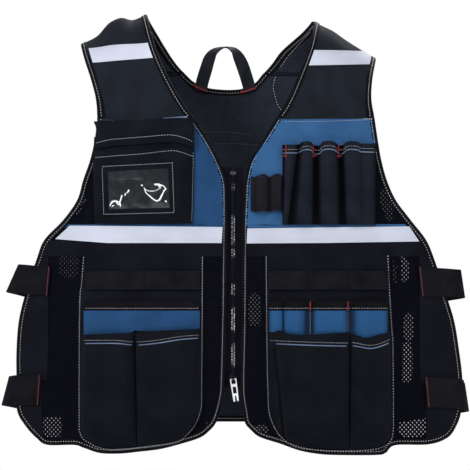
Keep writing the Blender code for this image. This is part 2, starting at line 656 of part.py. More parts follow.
def box(name, low, high, colour):
    """A block between two corners."""
    cage = bmesh.new()
    bmesh.ops.create_cube(cage, size=1.0)
    centre = (Vector(low) + Vector(high)) / 2
    size = Vector(high) - Vector(low)
    bmesh.ops.transform(cage, matrix=Matrix.Translation(centre) @ Matrix.Diagonal((*size, 1.0)), verts=cage.verts[:])
    return add_piece(name, cage, colour)


def build_zip():
    """The zip: two tapes, two combs of teeth that mesh, the stop at the top, and the slider with its pull."""
    middle = ZIP_PLACE * SQUARE_ACROSS
    top, bottom = height(ZIP_TOP), height(ZIP_BOTTOM)
    for side in (-1, 1):
        end = side_name(side)
        near, far = middle + side * ZIP_TAPE_GAP, middle + side * (ZIP_TAPE_GAP + ZIP_TAPE_WIDTH)
        foot = height(ZIP_BOTTOM + 12)
        tape = [(near, foot), (far, foot), (far, top + 0.012), (near, top + 0.012)]
        lay(f"zip_tape_{end}", tape, on_front, -ZIP_TAPE_UNDER, ZIP_TAPE_THICK - ZIP_TAPE_UNDER, "webbing",
            UPRIGHT_FOLDS)
        comb = [(middle + side * TOOTH_BACK, top), (middle + side * TOOTH_BACK, bottom)]
        teeth = int((top - bottom) / TOOTH_PITCH)
        half_tooth = TOOTH_PITCH / 4 - SEAM_GAP / 2
        root = middle + side * (TOOTH_REACH + SEAM_GAP)
        comb.append((root, bottom))
        for tooth in range(teeth):
            centre = bottom + (tooth + (0.3 if side < 0 else 0.8)) * TOOTH_PITCH
            reach = middle - side * TOOTH_REACH
            comb += [(root, centre - half_tooth), (reach, centre - half_tooth), (reach, centre + half_tooth),
                     (root, centre + half_tooth)]
        comb.append((root, top))
        lay(f"zip_teeth_{end}", comb, on_front, -TEETH_UNDER, TEETH_OVER, "dark_metal")
    stop_low = on_front(middle, top + SEAM_GAP, TEETH_OVER + 0.0005)
    stop_high = on_front(middle, top + 0.0052, -TEETH_UNDER)
    box("zip_top_stop", (middle - TOOTH_BACK, stop_low.y, stop_low.z), (middle + TOOTH_BACK, stop_high.y, stop_high.z),
        "dark_metal")
    build_slider(middle, bottom - SEAM_GAP)


def build_slider(middle, top):
    """The slider: two plates joined by a neck between the tapes, with a bail that the pull hangs in."""
    face = front_depth(middle, top)
    foot = top - SLIDER_HEIGHT
    half = SLIDER_WIDTH / 2
    front_plate = face - TEETH_OVER - SEAM_GAP
    back_plate = face + ZIP_TAPE_UNDER + SEAM_GAP
    slider = box("zip_slider", (middle - half, front_plate - SLIDER_PLATE, foot), (middle + half, front_plate, top),
                 "dark_metal")
    neck = box("slider_neck", (middle - SLIDER_NECK / 2, front_plate - SLIDER_PLATE / 2, foot + 0.001),
               (middle + SLIDER_NECK / 2, back_plate + SLIDER_PLATE / 2, top - 0.001), "dark_metal")
    rear = box("slider_back", (middle - half, back_plate, foot), (middle + half, back_plate + SLIDER_PLATE, top),
               "dark_metal")
    bail_back = front_plate - SLIDER_PLATE
    pivot_z = (top + foot) / 2
    bail = box("slider_bail", (middle - BAIL_BAR, bail_back - BAIL_DEPTH, pivot_z - BAIL_HEIGHT / 2),
               (middle + BAIL_BAR, bail_back + SLIDER_PLATE / 2, pivot_z + BAIL_HEIGHT / 2), "dark_metal")
    eye_front = bail_back - BAIL_DEPTH + BAIL_BAR
    eye = box("bail_eye", (middle - 2 * BAIL_BAR, eye_front, pivot_z - BAIL_HEIGHT / 2 + BAIL_BAR),
              (middle + 2 * BAIL_BAR, bail_back - 0.0001, pivot_z + BAIL_HEIGHT / 2 - BAIL_BAR), "dark_metal")
    cut_from(bail, eye)
    for part in (neck, rear, bail):
        cut_from(slider, part, "UNION")
    build_pull(Vector((middle, (eye_front + bail_back) / 2, pivot_z)))


def build_pull(pivot):
    """The pull: a bar through the bail, two limbs round it, a solid head, an open window and a forked foot."""
    head = 0.0068
    window = 0.0112
    window_foot = 0.0208
    fork = 0.0240
    bar = PULL_THICK / 2
    top_half, foot_half = PULL_TOP_WIDTH / 2, PULL_FOOT_WIDTH / 2
    outline = [(-top_half, bar), (top_half, bar), (foot_half, -PULL_LENGTH), (foot_half - 0.0024, -PULL_LENGTH),
               (foot_half - 0.0030, -fork), (-foot_half + 0.0030, -fork), (-foot_half + 0.0024, -PULL_LENGTH),
               (-foot_half, -PULL_LENGTH)]

    def flat(p, q, lift):
        return Vector((p, -lift, q))

    pull = lay("zip_pull", outline[::-1], flat, -PULL_THICK / 2, PULL_THICK / 2, "bright_metal")
    openings = ((top_half - PULL_LIMB - 0.0004, -bar, -head), (foot_half - PULL_LIMB, -window, -window_foot))
    for index, (half, high, low) in enumerate(openings):
        hole = box(f"pull_window_{index}", (-half, -PULL_THICK, low), (half, PULL_THICK, high), "bright_metal")
        hole.parent = pull
        cut_from(pull, hole)
    pull.location = pivot
    pull.rotation_euler = (0.0, -PULL_TILT, 0.0)


for side in (-1, 1):
    build_front(side)
    build_yoke(side)
build_back()
for row in POCKETS:
    build_pocket(row)
build_chest_cover()
build_handle()
for strap in SIDE_STRAPS:
    build_strap(strap)
build_zip()
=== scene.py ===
"""The looks of the utility work vest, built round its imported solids.

Cloth is drawn on the vest's cutting pattern: small squares, counted across from the pattern's left edge
and down from its top. Metres, +Z up, the front faces -Y; left and right are as seen from the front.
"""
from math import cos, pi, radians, sin

import bpy
import numpy as np
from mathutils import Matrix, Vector


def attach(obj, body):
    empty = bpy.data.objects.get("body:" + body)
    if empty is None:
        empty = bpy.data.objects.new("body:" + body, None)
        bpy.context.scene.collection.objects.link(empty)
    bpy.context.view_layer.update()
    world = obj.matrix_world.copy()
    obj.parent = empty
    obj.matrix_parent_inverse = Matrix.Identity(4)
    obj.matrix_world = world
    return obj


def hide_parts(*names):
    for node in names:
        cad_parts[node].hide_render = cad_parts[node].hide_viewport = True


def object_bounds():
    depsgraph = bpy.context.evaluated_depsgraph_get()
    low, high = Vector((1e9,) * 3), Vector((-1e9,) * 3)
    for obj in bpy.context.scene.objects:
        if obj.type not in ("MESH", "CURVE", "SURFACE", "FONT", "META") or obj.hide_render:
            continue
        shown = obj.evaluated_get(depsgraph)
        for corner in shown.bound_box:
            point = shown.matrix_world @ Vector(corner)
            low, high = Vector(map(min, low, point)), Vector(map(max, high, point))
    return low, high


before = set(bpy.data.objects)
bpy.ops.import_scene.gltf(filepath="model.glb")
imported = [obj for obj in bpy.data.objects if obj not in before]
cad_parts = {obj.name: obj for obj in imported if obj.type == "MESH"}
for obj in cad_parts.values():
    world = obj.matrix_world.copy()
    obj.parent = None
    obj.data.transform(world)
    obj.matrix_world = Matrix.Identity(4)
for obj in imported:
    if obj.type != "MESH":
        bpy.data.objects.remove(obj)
cad_box = [list(corner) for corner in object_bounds()]

# Camera, floor and studio light
# A long lens looks level at the front, as for a catalogue. The floor is a plain pale disc well below the hem.
# Soft lamps stand round the vest, and the world behind it is white.
VIEW_CENTRE = Vector((0.00725, -0.2, -0.2126))
VIEW_WIDTH = 0.6818
VIEW_DISTANCE = 24.0
FLOOR_DROP = 0.12
FLOOR_RADIUS = 2.4

lens = bpy.data.cameras.new("camera")
lens.sensor_width = 36.0
lens.lens = lens.sensor_width * VIEW_DISTANCE / VIEW_WIDTH
lens.clip_end = 100.0
camera = bpy.data.objects.new("camera", lens)
camera.location = VIEW_CENTRE - Vector((0.0, VIEW_DISTANCE, 0.0))
camera.rotation_euler = (radians(90), 0.0, 0.0)
bpy.context.scene.collection.objects.link(camera)
bpy.context.scene.camera = camera
bpy.context.scene.view_settings.view_transform = "Standard"


class Wire:
    """A node's output socket that takes part in Python sums."""

    def __init__(self, tree, socket):
        self.tree = tree
        self.socket = socket

    def node(self, kind, settings=None, **values):
        """Make any node: its settings first, then the values or links of its sockets."""
        made = self.tree.nodes.new("ShaderNode" + kind)
        for name, value in (settings or {}).items():
            setattr(made, name, value)
        for name, value in values.items():
            key = int(name[1:]) if name[0] == "i" and name[1:].isdigit() else name.replace("_", " ")
            if isinstance(value, Wire):
                self.tree.links.new(value.socket, made.inputs[key])
            else:
                made.inputs[key].default_value = value
        return made

    def take(self, made, name=0):
        return Wire(self.tree, made.outputs[name])

    def sum(self, operation, *terms):
        inputs = {f"i{number}": term for number, term in enumerate(terms)}
        return self.take(self.node("Math", {"operation": operation}, **inputs))

    def __add__(self, other):
        return self.sum("ADD", self, other)

    def __sub__(self, other):
        return self.sum("SUBTRACT", self, other)

    def __rsub__(self, other):
        return self.sum("SUBTRACT", other, self)

    def __mul__(self, other):
        return self.sum("MULTIPLY", self, other)

    def __truediv__(self, other):
        return self.sum("DIVIDE", self, other)

    __radd__ = __add__
    __rmul__ = __mul__

    def sine(self):
        return self.sum("SINE", self)

    def size(self):
        return self.sum("ABSOLUTE", self)

    def over(self, low, high):
        """0 below low, 1 above high, smooth between."""
        kind = {"interpolation_type": "SMOOTHSTEP"}
        return self.take(self.node("MapRange", kind, Value=self, From_Min=low, From_Max=high), "Result")

    def blend(self, first, second):
        """The first colour where this is 0, the second where it is 1."""
        made = self.node("Mix", {"data_type": "RGBA"}, i0=self, i6=first, i7=second)
        return self.take(made, 2)

    def noise(self, place, scale, detail=2.0):
        return self.take(self.node("TexNoise", Vector=place, Scale=scale, Detail=detail), "Fac")


def rgba(red, green, blue):
    return (red, green, blue, 1.0)


def start_finish(name):
    """A new material: its shader, a wire to build with, and the two cloth directions in metres."""
    material = bpy.data.materials.new(name)
    material.use_nodes = True
    tree = material.node_tree
    shader = tree.nodes["Principled BSDF"]
    wire = Wire(tree, None)
    flat = wire.node("UVMap", {"uv_map": "cloth"})
    halves = wire.node("SeparateXYZ", Vector=wire.take(flat))
    return material, shader, wire, wire.take(flat), wire.take(halves, "X"), wire.take(halves, "Y")


def end_finish(wire, shader, colour, roughness, relief, depth):
    """Link the varying colour, roughness and relief; depth is the relief's height in metres."""
    wire.tree.links.new(colour.socket, shader.inputs["Base Color"])
    if isinstance(roughness, Wire):
        wire.tree.links.new(roughness.socket, shader.inputs["Roughness"])
    else:
        shader.inputs["Roughness"].default_value = roughness
    bump = wire.node("Bump", Height=relief, Distance=depth, Strength=1.0)
    wire.tree.links.new(bump.outputs["Normal"], shader.inputs["Normal"])


world = bpy.data.worlds.new("studio")
bpy.context.scene.world = world
world.use_nodes = True
sky = Wire(world.node_tree, None)
seen = sky.take(sky.node("LightPath"), "Is Camera Ray")
background = world.node_tree.nodes["Background"]
background.inputs["Color"].default_value = rgba(1.0, 1.0, 1.0)
world.node_tree.links.new((0.22 + seen * 0.78).socket, background.inputs["Strength"])

# Name, place, size and power of each lamp.
LAMPS = [
    ("key", (-1.7, -1.9, 0.9), 1.0, 50.0), ("fill", (2.1, -1.6, 0.1), 1.2, 26.0),
    ("back", (0.4, 1.9, 1.4), 1.6, 45.0),
    ("top", (0.0, -1.3, 1.7), 0.9, 20.0),
]
for lamp_name, lamp_place, lamp_size, lamp_power in LAMPS:
    lamp = bpy.data.lights.new(lamp_name, "AREA")
    lamp.shape = "DISK"
    lamp.size = lamp_size
    lamp.energy = lamp_power
    stand = bpy.data.objects.new(lamp_name, lamp)
    stand.location = lamp_place
    stand.rotation_euler = (VIEW_CENTRE - Vector(lamp_place)).to_track_quat("-Z", "Y").to_euler()
    bpy.context.scene.collection.objects.link(stand)

floor_mesh = bpy.data.meshes.new("floor")
floor_level = cad_box[0][2] - FLOOR_DROP
FLOOR_STEPS = 96
rim_turns = [2 * pi * step / FLOOR_STEPS for step in range(FLOOR_STEPS)]
rim = [(FLOOR_RADIUS * cos(turn), FLOOR_RADIUS * sin(turn), floor_level) for turn in rim_turns]
floor_mesh.from_pydata(rim, [], [list(range(FLOOR_STEPS))])
floor = bpy.data.objects.new("floor", floor_mesh)
bpy.context.scene.collection.objects.link(floor)
pale, pale_shader, wire, flat, run, rise = start_finish("pale_floor")
grain = wire.noise(flat, 30.0)
end_finish(wire, pale_shader, grain.blend(rgba(0.86, 0.86, 0.86), rgba(0.9, 0.9, 0.9)), 0.8, grain, 0.0002)
floor_mesh.materials.append(pale)

# Mesh fronts
# Two fronts of black spacer mesh carry everything else. They are cut to the neck, armhole and hem, and
# bulge round the chest and sides. Light shows through them in patches.
ACROSS = 0.338 / 233
DOWN = 0.640 / 441
NAPE_ACROSS = 230.0
NAPE_DOWN = 88.5
SEAM = 118.0
GIRTH = 0.200
HALF = 0.338
FRONT_WRAP = 0.075
BACK_WRAP = 0.095
WRAP_POWER = 2.6
LEAN = 0.03
INSET = 3.0
MESH = 0.0015
CLOTH = 0.0012
PLY = MESH + 0.0004

NECK = {
    -1: [(147, 14), (154.5, 43), (160.5, 60), (170, 80), (181.5, 100), (195.5, 120), (208.5, 140), (219, 160),
         (226.3, 180), (227.6, 200), (227.5, 240), (226.5, 320), (224.8, 385), (223, 400), (220, 412),
         (216, 422.7), (210, 430)],
    1: [(315, 14), (309.5, 43), (304, 60), (296, 80), (287, 100), (275, 120), (262.5, 140), (250, 160),
        (244.6, 180), (243.2, 200), (241.8, 240), (241.2, 320), (240, 385), (241, 400), (243, 412),
        (245, 422.7), (251, 430)],
}
SIDE = {
    -1: [(80, 43), (84.5, 60), (91, 80), (96, 100), (97, 120), (94.5, 140), (90, 160), (83, 180), (77, 200),
         (63, 220), (44, 240), (36, 260), (26, 290), (18.5, 320), (16, 350), (16, 380), (16.5, 410),
         (25, 426), (36, 438)],
    1: [(379, 43), (375.8, 60), (372.2, 80), (371.4, 100), (375, 120), (378, 140), (381.5, 160), (387, 180),
        (396, 200), (411, 220), (426.5, 240), (435, 260), (445, 290), (454.5, 320), (459.6, 350), (463, 380),
        (462, 410), (457, 426), (448, 438)],
}
HEM = {
    -1: [(210, 430), (200, 437.5), (180, 444), (160, 449), (140, 451.5), (120, 453.5), (100, 453), (84, 448),
         (74, 445), (47, 445), (36, 438)],
    1: [(251, 430), (260, 437), (280, 443.5), (300, 450.5), (320, 454), (340, 455), (377, 455), (386, 452.7),
        (395.5, 445.3), (429, 444.6), (448, 438)],
}


def line(points, count=0, smooth=True):
    """A line through these points, evenly stepped: a smooth one, or straight from point to point."""
    knots = np.array(points, float)
    if smooth and len(knots) > 2:
        ends = np.vstack([2 * knots[0] - knots[1], knots, 2 * knots[-1] - knots[-2]])
        run = np.linspace(0, 1, 12, endpoint=False)[:, None]
        parts = []
        for a, b, c, d in zip(ends, ends[1:], ends[2:], ends[3:]):
            bend = 2 * a - 5 * b + 4 * c - d
            parts.append(b + 0.5 * run * (c - a + run * (bend + run * (3 * b - a - 3 * c + d))))
        knots = np.vstack(parts + [knots[-1:]])
    reach = np.concatenate([[0], np.cumsum(np.linalg.norm(np.diff(knots, axis=0), axis=1))])
    at = np.linspace(0, reach[-1], count or max(int(reach[-1] / 2) + 1, 2))
    return np.stack([np.interp(at, reach, knots[:, axis]) for axis in range(knots.shape[1])], axis=1)


def length(points):
    return float(np.linalg.norm(np.diff(np.array(points, float), axis=0), axis=1).sum())


def across_at(edge, rows):
    """How far across an edge passes each row."""
    return np.interp(rows, edge[:, 1], edge[:, 0])


def beside_edge(edge, rows, out=0.0):
    """The spots where an edge passes each row, moved out a little."""
    return np.stack([across_at(edge, rows) + out, rows], -1)


def below(points, down):
    """The part of an edge below a row, starting on the row itself."""
    path = np.array(points, float)
    return np.vstack([[across_at(path, down), down], path[path[:, 1] > down + 0.5]])


def fill(top, right, bottom, left, step=2.4, smooth=True):
    """A grid of pattern squares inside four edges. Top and bottom run to the right, the sides run down."""
    columns = int(max(length(top), length(bottom)) / step) + 2
    rows = int(max(length(left), length(right)) / step) + 2
    top, bottom = line(top, columns, smooth), line(bottom, columns, smooth)
    left, right = line(left, rows, smooth), line(right, rows, smooth)
    share = np.linspace(0, 1, columns)[None, :, None]
    fall = np.linspace(0, 1, rows)[:, None, None]
    upper = (1 - share) * (1 - fall) * top[0] + share * (1 - fall) * top[-1]
    corners = upper + (1 - share) * fall * bottom[0] + share * fall * bottom[-1]
    across = (1 - fall) * top[None] + fall * bottom[None]
    return across + (1 - share) * left[:, None] + share * right[:, None] - corners


def oblong(left, right, high, low, step):
    """A grid of pattern squares with straight edges."""
    return fill([(left, high), (right, high)], [(right, high), (right, low)],
                [(left, low), (right, low)], [(left, high), (left, low)], step)


def shrink(points, width):
    """A closed or open edge moved to its left by a width, in squares."""
    path = np.array(points, float)
    along = np.gradient(path, axis=0)
    along /= np.linalg.norm(along, axis=1, keepdims=True) + 1e-9
    return path + np.stack([along[:, 1], -along[:, 0]], axis=1) * width


def waves(across, down):
    """Slack in the cloth that every ply of the fronts shares, in metres."""
    slow = 0.0011 * np.sin(across / 23.0 + 0.7) * np.sin(down / 31.0 + 1.9)
    return slow + 0.0006 * np.sin(across / 11.0 + down / 17.0) + 0.0005 * np.sin(down / 9.0 - across / 29.0)


def on_front(spots, lift=0.0):
    """Pattern squares on the chest, a lift off the inner face of the mesh."""
    x = (spots[..., 0] - NAPE_ACROSS) * ACROSS
    z = (NAPE_DOWN - spots[..., 1]) * DOWN
    seam = (NAPE_DOWN - SEAM) * DOWN
    y = -GIRTH + FRONT_WRAP * (np.abs(x) / HALF) ** WRAP_POWER - LEAN * np.maximum(seam - z, 0.0)
    fade = np.clip((seam - z) / 0.05, 0.0, 1.0)
    return np.stack([x, y - lift - waves(spots[..., 0], spots[..., 1]) * fade, z], axis=-1)


def on_back(spots, lift=0.0):
    """Pattern squares on the back, a lift outside its inner face."""
    x = (spots[..., 0] - NAPE_ACROSS) * ACROSS
    z = (NAPE_DOWN - spots[..., 1]) * DOWN
    y = -BACK_WRAP * (np.abs(x) / HALF) ** WRAP_POWER
    fade = np.clip(-z / 0.06, 0.0, 1.0)
    return np.stack([x, y + lift + 0.8 * waves(spots[..., 0] + 40, spots[..., 1]) * fade, z], axis=-1)


def dent(spots, rows):
    """Folds and dents in squares and metres: a depth along a line, fading over its width."""
    total = np.zeros(spots.shape[:-1])
    for x0, y0, x1, y1, depth, width in rows:
        run = np.array([x1 - x0, y1 - y0], float)
        share = np.clip(((spots - (x0, y0)) @ run) / (run @ run + 1e-9), 0.0, 1.0)
        gap = spots - (np.array([x0, y0]) + share[..., None] * run)
        total += depth * np.exp(-(gap ** 2).sum(-1) / width ** 2)
    return total


def add_mesh(name, points, faces, flat, finish, smooth=True, crease=None):
    """A mesh object with its cloth directions as UVs, in metres."""
    mesh = bpy.data.meshes.new(name)
    mesh.from_pydata([tuple(p) for p in points], [], faces)
    layer = mesh.uv_layers.new(name="cloth")
    index = np.zeros(len(mesh.loops), int)
    mesh.loops.foreach_get("vertex_index", index)
    layer.data.foreach_set("uv", np.asarray(flat, float)[index].ravel())
    # The crease mark is the mask that materials read for painted shade in valleys and painted highlights on
    # vinyl creases.
    if crease is not None:
        mark = mesh.attributes.new("crease", "FLOAT", "POINT")
        mark.data.foreach_set("value", np.asarray(crease, float))
    mesh.validate()
    if smooth:
        mesh.shade_smooth()
        mesh.set_sharp_from_angle(angle=radians(48))
    mesh.materials.append(finish)
    made = bpy.data.objects.new(name, mesh)
    bpy.context.scene.collection.objects.link(made)
    return made


def normals(grid):
    """Unit normals of a grid whose rows run down and columns run right: they face the viewer."""
    normal = np.cross(np.gradient(grid, axis=0), np.gradient(grid, axis=1))
    return normal / (np.linalg.norm(normal, axis=-1, keepdims=True) + 1e-12)


def cloth(name, grids, thick, finish, flats=None, flip=False, crease=None):
    """Closed cloth from the grids of its outer face, with an inner face a thickness behind."""
    grids = grids if isinstance(grids, list) else [grids]
    flats = flats or [grid[..., [0, 2]] for grid in grids]
    points, faces, flat = [], [], []
    start = 0
    for grid, plan in zip(grids, flats):
        rows, columns = grid.shape[:2]
        inner = grid - normals(grid) * np.asarray(thick)[..., None] * (-1 if flip else 1)
        points += [grid.reshape(-1, 3), inner.reshape(-1, 3)]
        flat += [plan.reshape(-1, 2)] * 2
        index = np.arange(rows * columns).reshape(rows, columns) + start
        under = index + rows * columns
        quads = np.stack([index[:-1, :-1], index[1:, :-1], index[1:, 1:], index[:-1, 1:]], -1).reshape(-1, 4)
        edge = np.concatenate([index[0, :-1], index[:-1, -1], index[-1, :0:-1], index[:0:-1, 0]])
        back = np.concatenate([under[0, :-1], under[:-1, -1], under[-1, :0:-1], under[:0:-1, 0]])
        rim = np.stack([edge, np.roll(edge, -1), np.roll(back, -1), back], -1)
        sheet = np.vstack([quads, quads[:, ::-1] + rows * columns, rim])
        faces.append(sheet[:, ::-1] if flip else sheet)
        start += 2 * rows * columns
    marks = None if crease is None else np.concatenate([crease.ravel(), crease.ravel()])
    return add_mesh(name, np.vstack(points), np.vstack(faces).tolist(), np.vstack(flat), finish, crease=marks)


def stand_for(piece, node):
    """A piece of the vest in its solid's place: it joins the vest's body, and the solid is hidden."""
    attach(piece, "vest")
    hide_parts(node)


def net(name, cell, row, colour, opening, patches=(), hole_shade=(0.001, 0.001, 0.002), lit=0.84):
    """Spacer mesh: rows of holes, every other row shifted by half a cell, with knitted yarn between them.

    Light comes through the holes in patches: place and half sizes in squares, and strength. There the part
    of a hole deeper than lit lets it through. Elsewhere the holes have a darker colour of their own: painted
    shade for the dim space seen through them.
    """
    material, shader, wire, flat, run, rise = start_finish(name)
    twice = (run * (pi / cell)).sine() * (rise * (pi / row)).sine()
    other = (run * (pi / cell) + pi / 2).sine() * (rise * (pi / row) + pi / 2).sine()
    hole = wire.sum("MAXIMUM", twice.size(), other.size())
    opened = hole.over(opening, opening + HOLE_RIM)
    knit = (run * 9000.0).sine() * (rise * 7000.0).sine()
    tint = wire.noise(flat, 60.0)
    shade = tint.blend(rgba(*(0.7 * c for c in colour)), rgba(*(1.5 * c for c in colour)))
    relief = knit * 0.1 - hole.over(0.3, 0.95)
    # The holes take their own darker colour: painted shade.
    end_finish(wire, shader, opened.blend(shade, rgba(*hole_shade)), 0.85, relief, 0.0003)
    shader.inputs["Specular IOR Level"].default_value = 0.03
    clear = tint * 0.0
    for across, down, half_wide, half_high, strength in patches:
        beside = (run - (across - NAPE_ACROSS) * ACROSS) / (half_wide * ACROSS)
        above = (rise - (NAPE_DOWN - down) * DOWN) / (half_high * DOWN)
        far = wire.sum("POWER", beside, 4.0) + wire.sum("POWER", above, 4.0) + (tint - 0.5) * 0.9
        clear = wire.sum("MAXIMUM", clear, (1.0 - far.over(0.7, 1.3)) * strength)
    if patches:
        through = hole.over(lit, lit + HOLE_RIM)
        wire.tree.links.new((1.0 - through * clear).socket, shader.inputs["Alpha"])
    return material


HOLE_CELL = 0.0061
HOLE_ROW = 0.0066
HOLE_RIM = 0.06
# Where light shows through: across, down, half width, half height and strength.
SEE_THROUGH = [
    (68, 266, 11, 12.5, 0.55), (52, 427, 9.5, 11, 0.55), (83, 212, 8, 14, 0.35), (401, 270, 8.5, 13, 0.55),
    (409, 327, 5, 14, 0.5), (406, 362, 7, 20, 0.6), (413, 425, 14, 12.5, 0.68), (255, 310, 6.5, 17, 0.55),
    (387, 205, 7, 16, 0.3), (261, 429, 7, 4, 0.4), (212, 426, 6, 5, 0.25), (212, 302, 6, 7, 0.16),
]
front_mesh = net("front_mesh", HOLE_CELL, HOLE_ROW, (0.0022, 0.0024, 0.0050), 0.84, SEE_THROUGH)
for side, end, size in ((-1, "left", (0.300, 0.486, 0.1210)), (1, "right", (0.316, 0.487, 0.1270))):
    neck = shrink(line(below(NECK[side], SEAM), 220), side * INSET)
    arm = shrink(line(below(SIDE[side], SEAM), 220), -side * INSET)
    hem = shrink(line(HEM[side], 160), side * INSET)
    if side < 0:
        grid = fill([arm[0], neck[0]], neck, hem[::-1], arm)
    else:
        grid = fill([neck[0], arm[0]], arm, hem, neck)
    front = cloth(f"mesh_front_{end}", on_front(grid, MESH), MESH, front_mesh)
    stand_for(front, f"front_panel_{end}")

# Mesh back
# One width of navy mesh hangs from the shoulders, with the same rows of holes. Behind the fronts' patches its
# holes are wider, so that light shows through both.
BACK_NECK = {
    -1: [(147, 14), (149, 20), (156, 32), (167, 50), (176, 63), (186, 74)],
    1: [(317, 14), (313, 20), (302.5, 32), (282, 50), (272, 63), (262, 74)],
}
BACK_SIDE = {
    -1: [(80, 43), (87, 58), (92, 74), (102, 120), (98, 160), (85, 200), (60, 240), (50, 264), (47, 286),
         (47, 390), (54, 409), (66, 419), (85, 422)],
    1: [(379, 43), (376, 58), (369, 74), (364, 120), (370, 160), (380, 200), (397, 240), (402, 264),
        (403, 286), (403, 390), (396, 409), (384, 419), (365, 422)],
}
BACK_SEAM = 74.0
NECKLINE = [(186, 74), (194, 81), (207, 86.5), (222, 88.5), (235, 88.5), (244, 87), (255, 82), (262, 74)]
BACK_HEM = [(85, 422), (170, 423), (280, 423), (365, 422)]

BACK_STEP = 3.0
# The back's mesh is painted lighter than the fronts' mesh: painted light for its inside, which the lamps
# barely reach.
back_net = net("back_net", HOLE_CELL, HOLE_ROW, (0.0185, 0.0220, 0.0320), 0.84, SEE_THROUGH,
               hole_shade=(0.0130, 0.0155, 0.0230), lit=0.50)
left = shrink(line(below(BACK_SIDE[-1], BACK_SEAM), 200), INSET)
right = shrink(line(below(BACK_SIDE[1], BACK_SEAM), 200), -INSET)
hem = shrink(line(BACK_HEM, 160), INSET)
nape = shrink(line(NECKLINE, 120), -INSET)
lap = BACK_SEAM - 1.0
top = np.vstack([[left[0][0], lap], [NECKLINE[0][0] - 2, lap], nape[3:-3],
                 [NECKLINE[-1][0] + 2, lap], [right[0][0], lap]])
grid = fill(top, right, hem, left, BACK_STEP, smooth=False)
back = cloth("mesh_back", on_back(grid, MESH), MESH, back_net, flip=True)
stand_for(back, "back_panel")

# Blue chest panels
# Coated blue cloth is sewn flat on the mesh between yoke and reflective tape, and a narrow strip of it laps
# under the tape.
def woven(name, dark, light, cell=0.0009, sheen=0.02, shine=0.10, valley_shade=None):
    """Plain-weave cloth: warp and weft threads, cloudy wear in the colour, a dry surface.

    Gathered cloth is darker in its valleys by painted shade, read from the crease mark of its mesh.
    """
    material, shader, wire, flat, run, rise = start_finish(name)
    warp = (run * (2 * pi / cell)).sine()
    weft = (rise * (2 * pi / cell)).sine()
    cloud = wire.noise(flat, 22.0, 4.0)
    fibre = wire.noise(flat, 900.0, 1.0)
    shade = (cloud * 0.75 + fibre * 0.25 + warp * weft * 0.06).over(0.25, 0.75)
    tone = shade.blend(rgba(*dark), rgba(*light))
    if valley_shade:
        # Painted shade: by the crease mark, the colour goes over to the dark valley colour in the folds.
        low = wire.take(wire.node("Attribute", {"attribute_name": "crease"}), "Fac").over(0.3, 1.0)
        tone = low.blend(tone, rgba(*valley_shade))
    end_finish(wire, shader, tone, cloud * 0.2 + 0.62, warp * weft + cloud * 2.0, 0.00012)
    shader.inputs["Sheen Weight"].default_value = sheen
    shader.inputs["Sheen Roughness"].default_value = 0.5
    shader.inputs["Specular IOR Level"].default_value = shine
    return material


blue_cloth = woven("blue_cloth", (0.016, 0.067, 0.170), (0.030, 0.108, 0.255), shine=0.15)
# A darker copy of the blue cloth, used on the left chest and the left small pocket.
darker_blue = woven("darker_blue_cloth", (0.0065, 0.036, 0.100), (0.0135, 0.060, 0.165), shine=0.12)
CHEST_EDGE = {-1: 96.5, 1: 376.0}
CHEST_FOOT = 226.5
CHEST_LAP = (224.2, 227.6)
for side, end, size in ((-1, "left", (0.233, 0.160, 0.0285)), (1, "right", (0.238, 0.160, 0.0290))):
    neck = shrink(line(below(NECK[side], SEAM)), side * INSET)
    neck = neck[neck[:, 1] < CHEST_FOOT]
    arm = shrink(line(below(SIDE[side], SEAM)), -side * INSET)
    arm = arm[arm[:, 1] < CHEST_FOOT]
    arm[:, 0] = np.maximum(arm[:, 0], CHEST_EDGE[-1]) if side < 0 else np.minimum(arm[:, 0], CHEST_EDGE[1])
    left, right = (arm, neck) if side < 0 else (neck, arm)
    spots = fill([left[0], right[0]], right, [left[-1], right[-1]], left, smooth=False)
    bulge = dent(spots, [(300, 133, 340, 131, 0.0012, 8), (205, 160, 215, 215, 0.0008, 6),
                         (262, 150, 268, 172, 0.0008, 7)])
    tables = (SIDE, NECK) if side < 0 else (NECK, SIDE)
    left, right = [beside_edge(line(table[side]), CHEST_LAP) for table in tables]
    lower_strip = fill([left[0], right[0]], right, [left[1], right[1]], left, smooth=False)
    lower_strip[..., 0] += np.linspace(*((9.0, -3.0) if side < 0 else (3.0, -9.0)), lower_strip.shape[1])
    plies = [on_front(spots, PLY + CLOTH + bulge), on_front(lower_strip, PLY + CLOTH)]
    chest = cloth(f"blue_chest_{end}", plies, CLOTH, darker_blue if side < 0 else blue_cloth)
    stand_for(chest, f"chest_panel_{end}")

# Black waist and side panels
# Coated black cloth: a wide band under the tape, the U-shaped panel that carries the lower pockets, and a
# strip up each side for the straps.
WAIST_TOP = 240.0
WAIST_FOOT = 256.5
WAIST_CORNER = 432
WAIST = {
    -1: [(82, 256), (80, 283), (78, 307), (77.5, 417), (78.5, 433), (82.5, 440.5), (90, 445), (97, 448.4),
         (110, 451), (133, 449.6), (153, 447), (177, 444), (188, 435.5), (196, 426), (202, 410.5),
         (203.2, 388), (204, 256)],
    1: [(264.5, 256), (265.5, 350), (266.5, 397), (267.5, 412), (270, 421), (273.6, 429), (279.5, 437.6),
        (290.5, 446), (303, 450), (322, 451.6), (337, 452.4), (360, 452), (378, 450.2), (389.5, 444.5),
        (394.5, 434), (395, 404), (394.5, 342), (393.8, 333), (391.5, 296.5), (389.5, 256)],
}
SIDE_STRIP = {
    -1: [(48, 256.5), (47, 373.0), (42.5, 376.0), (41.0, 400.0), (43.5, 442)],
    1: [(420, 256.5), (420.6, 376.0), (426.0, 379.0), (427.0, 410.0), (426.5, 442)],
}
black_cloth = woven("black_cloth", (0.0026, 0.0032, 0.0056), (0.0064, 0.0074, 0.0118), shine=0.03)


def u_shape(points, foot):
    """The left, bottom and right edges of a U-shaped panel, split at its two lower corners."""
    path = line(points)
    low = np.flatnonzero(path[:, 1] > foot)
    return path[:low[0] + 1], path[low[0]:low[-1] + 1], path[low[-1]:][::-1]


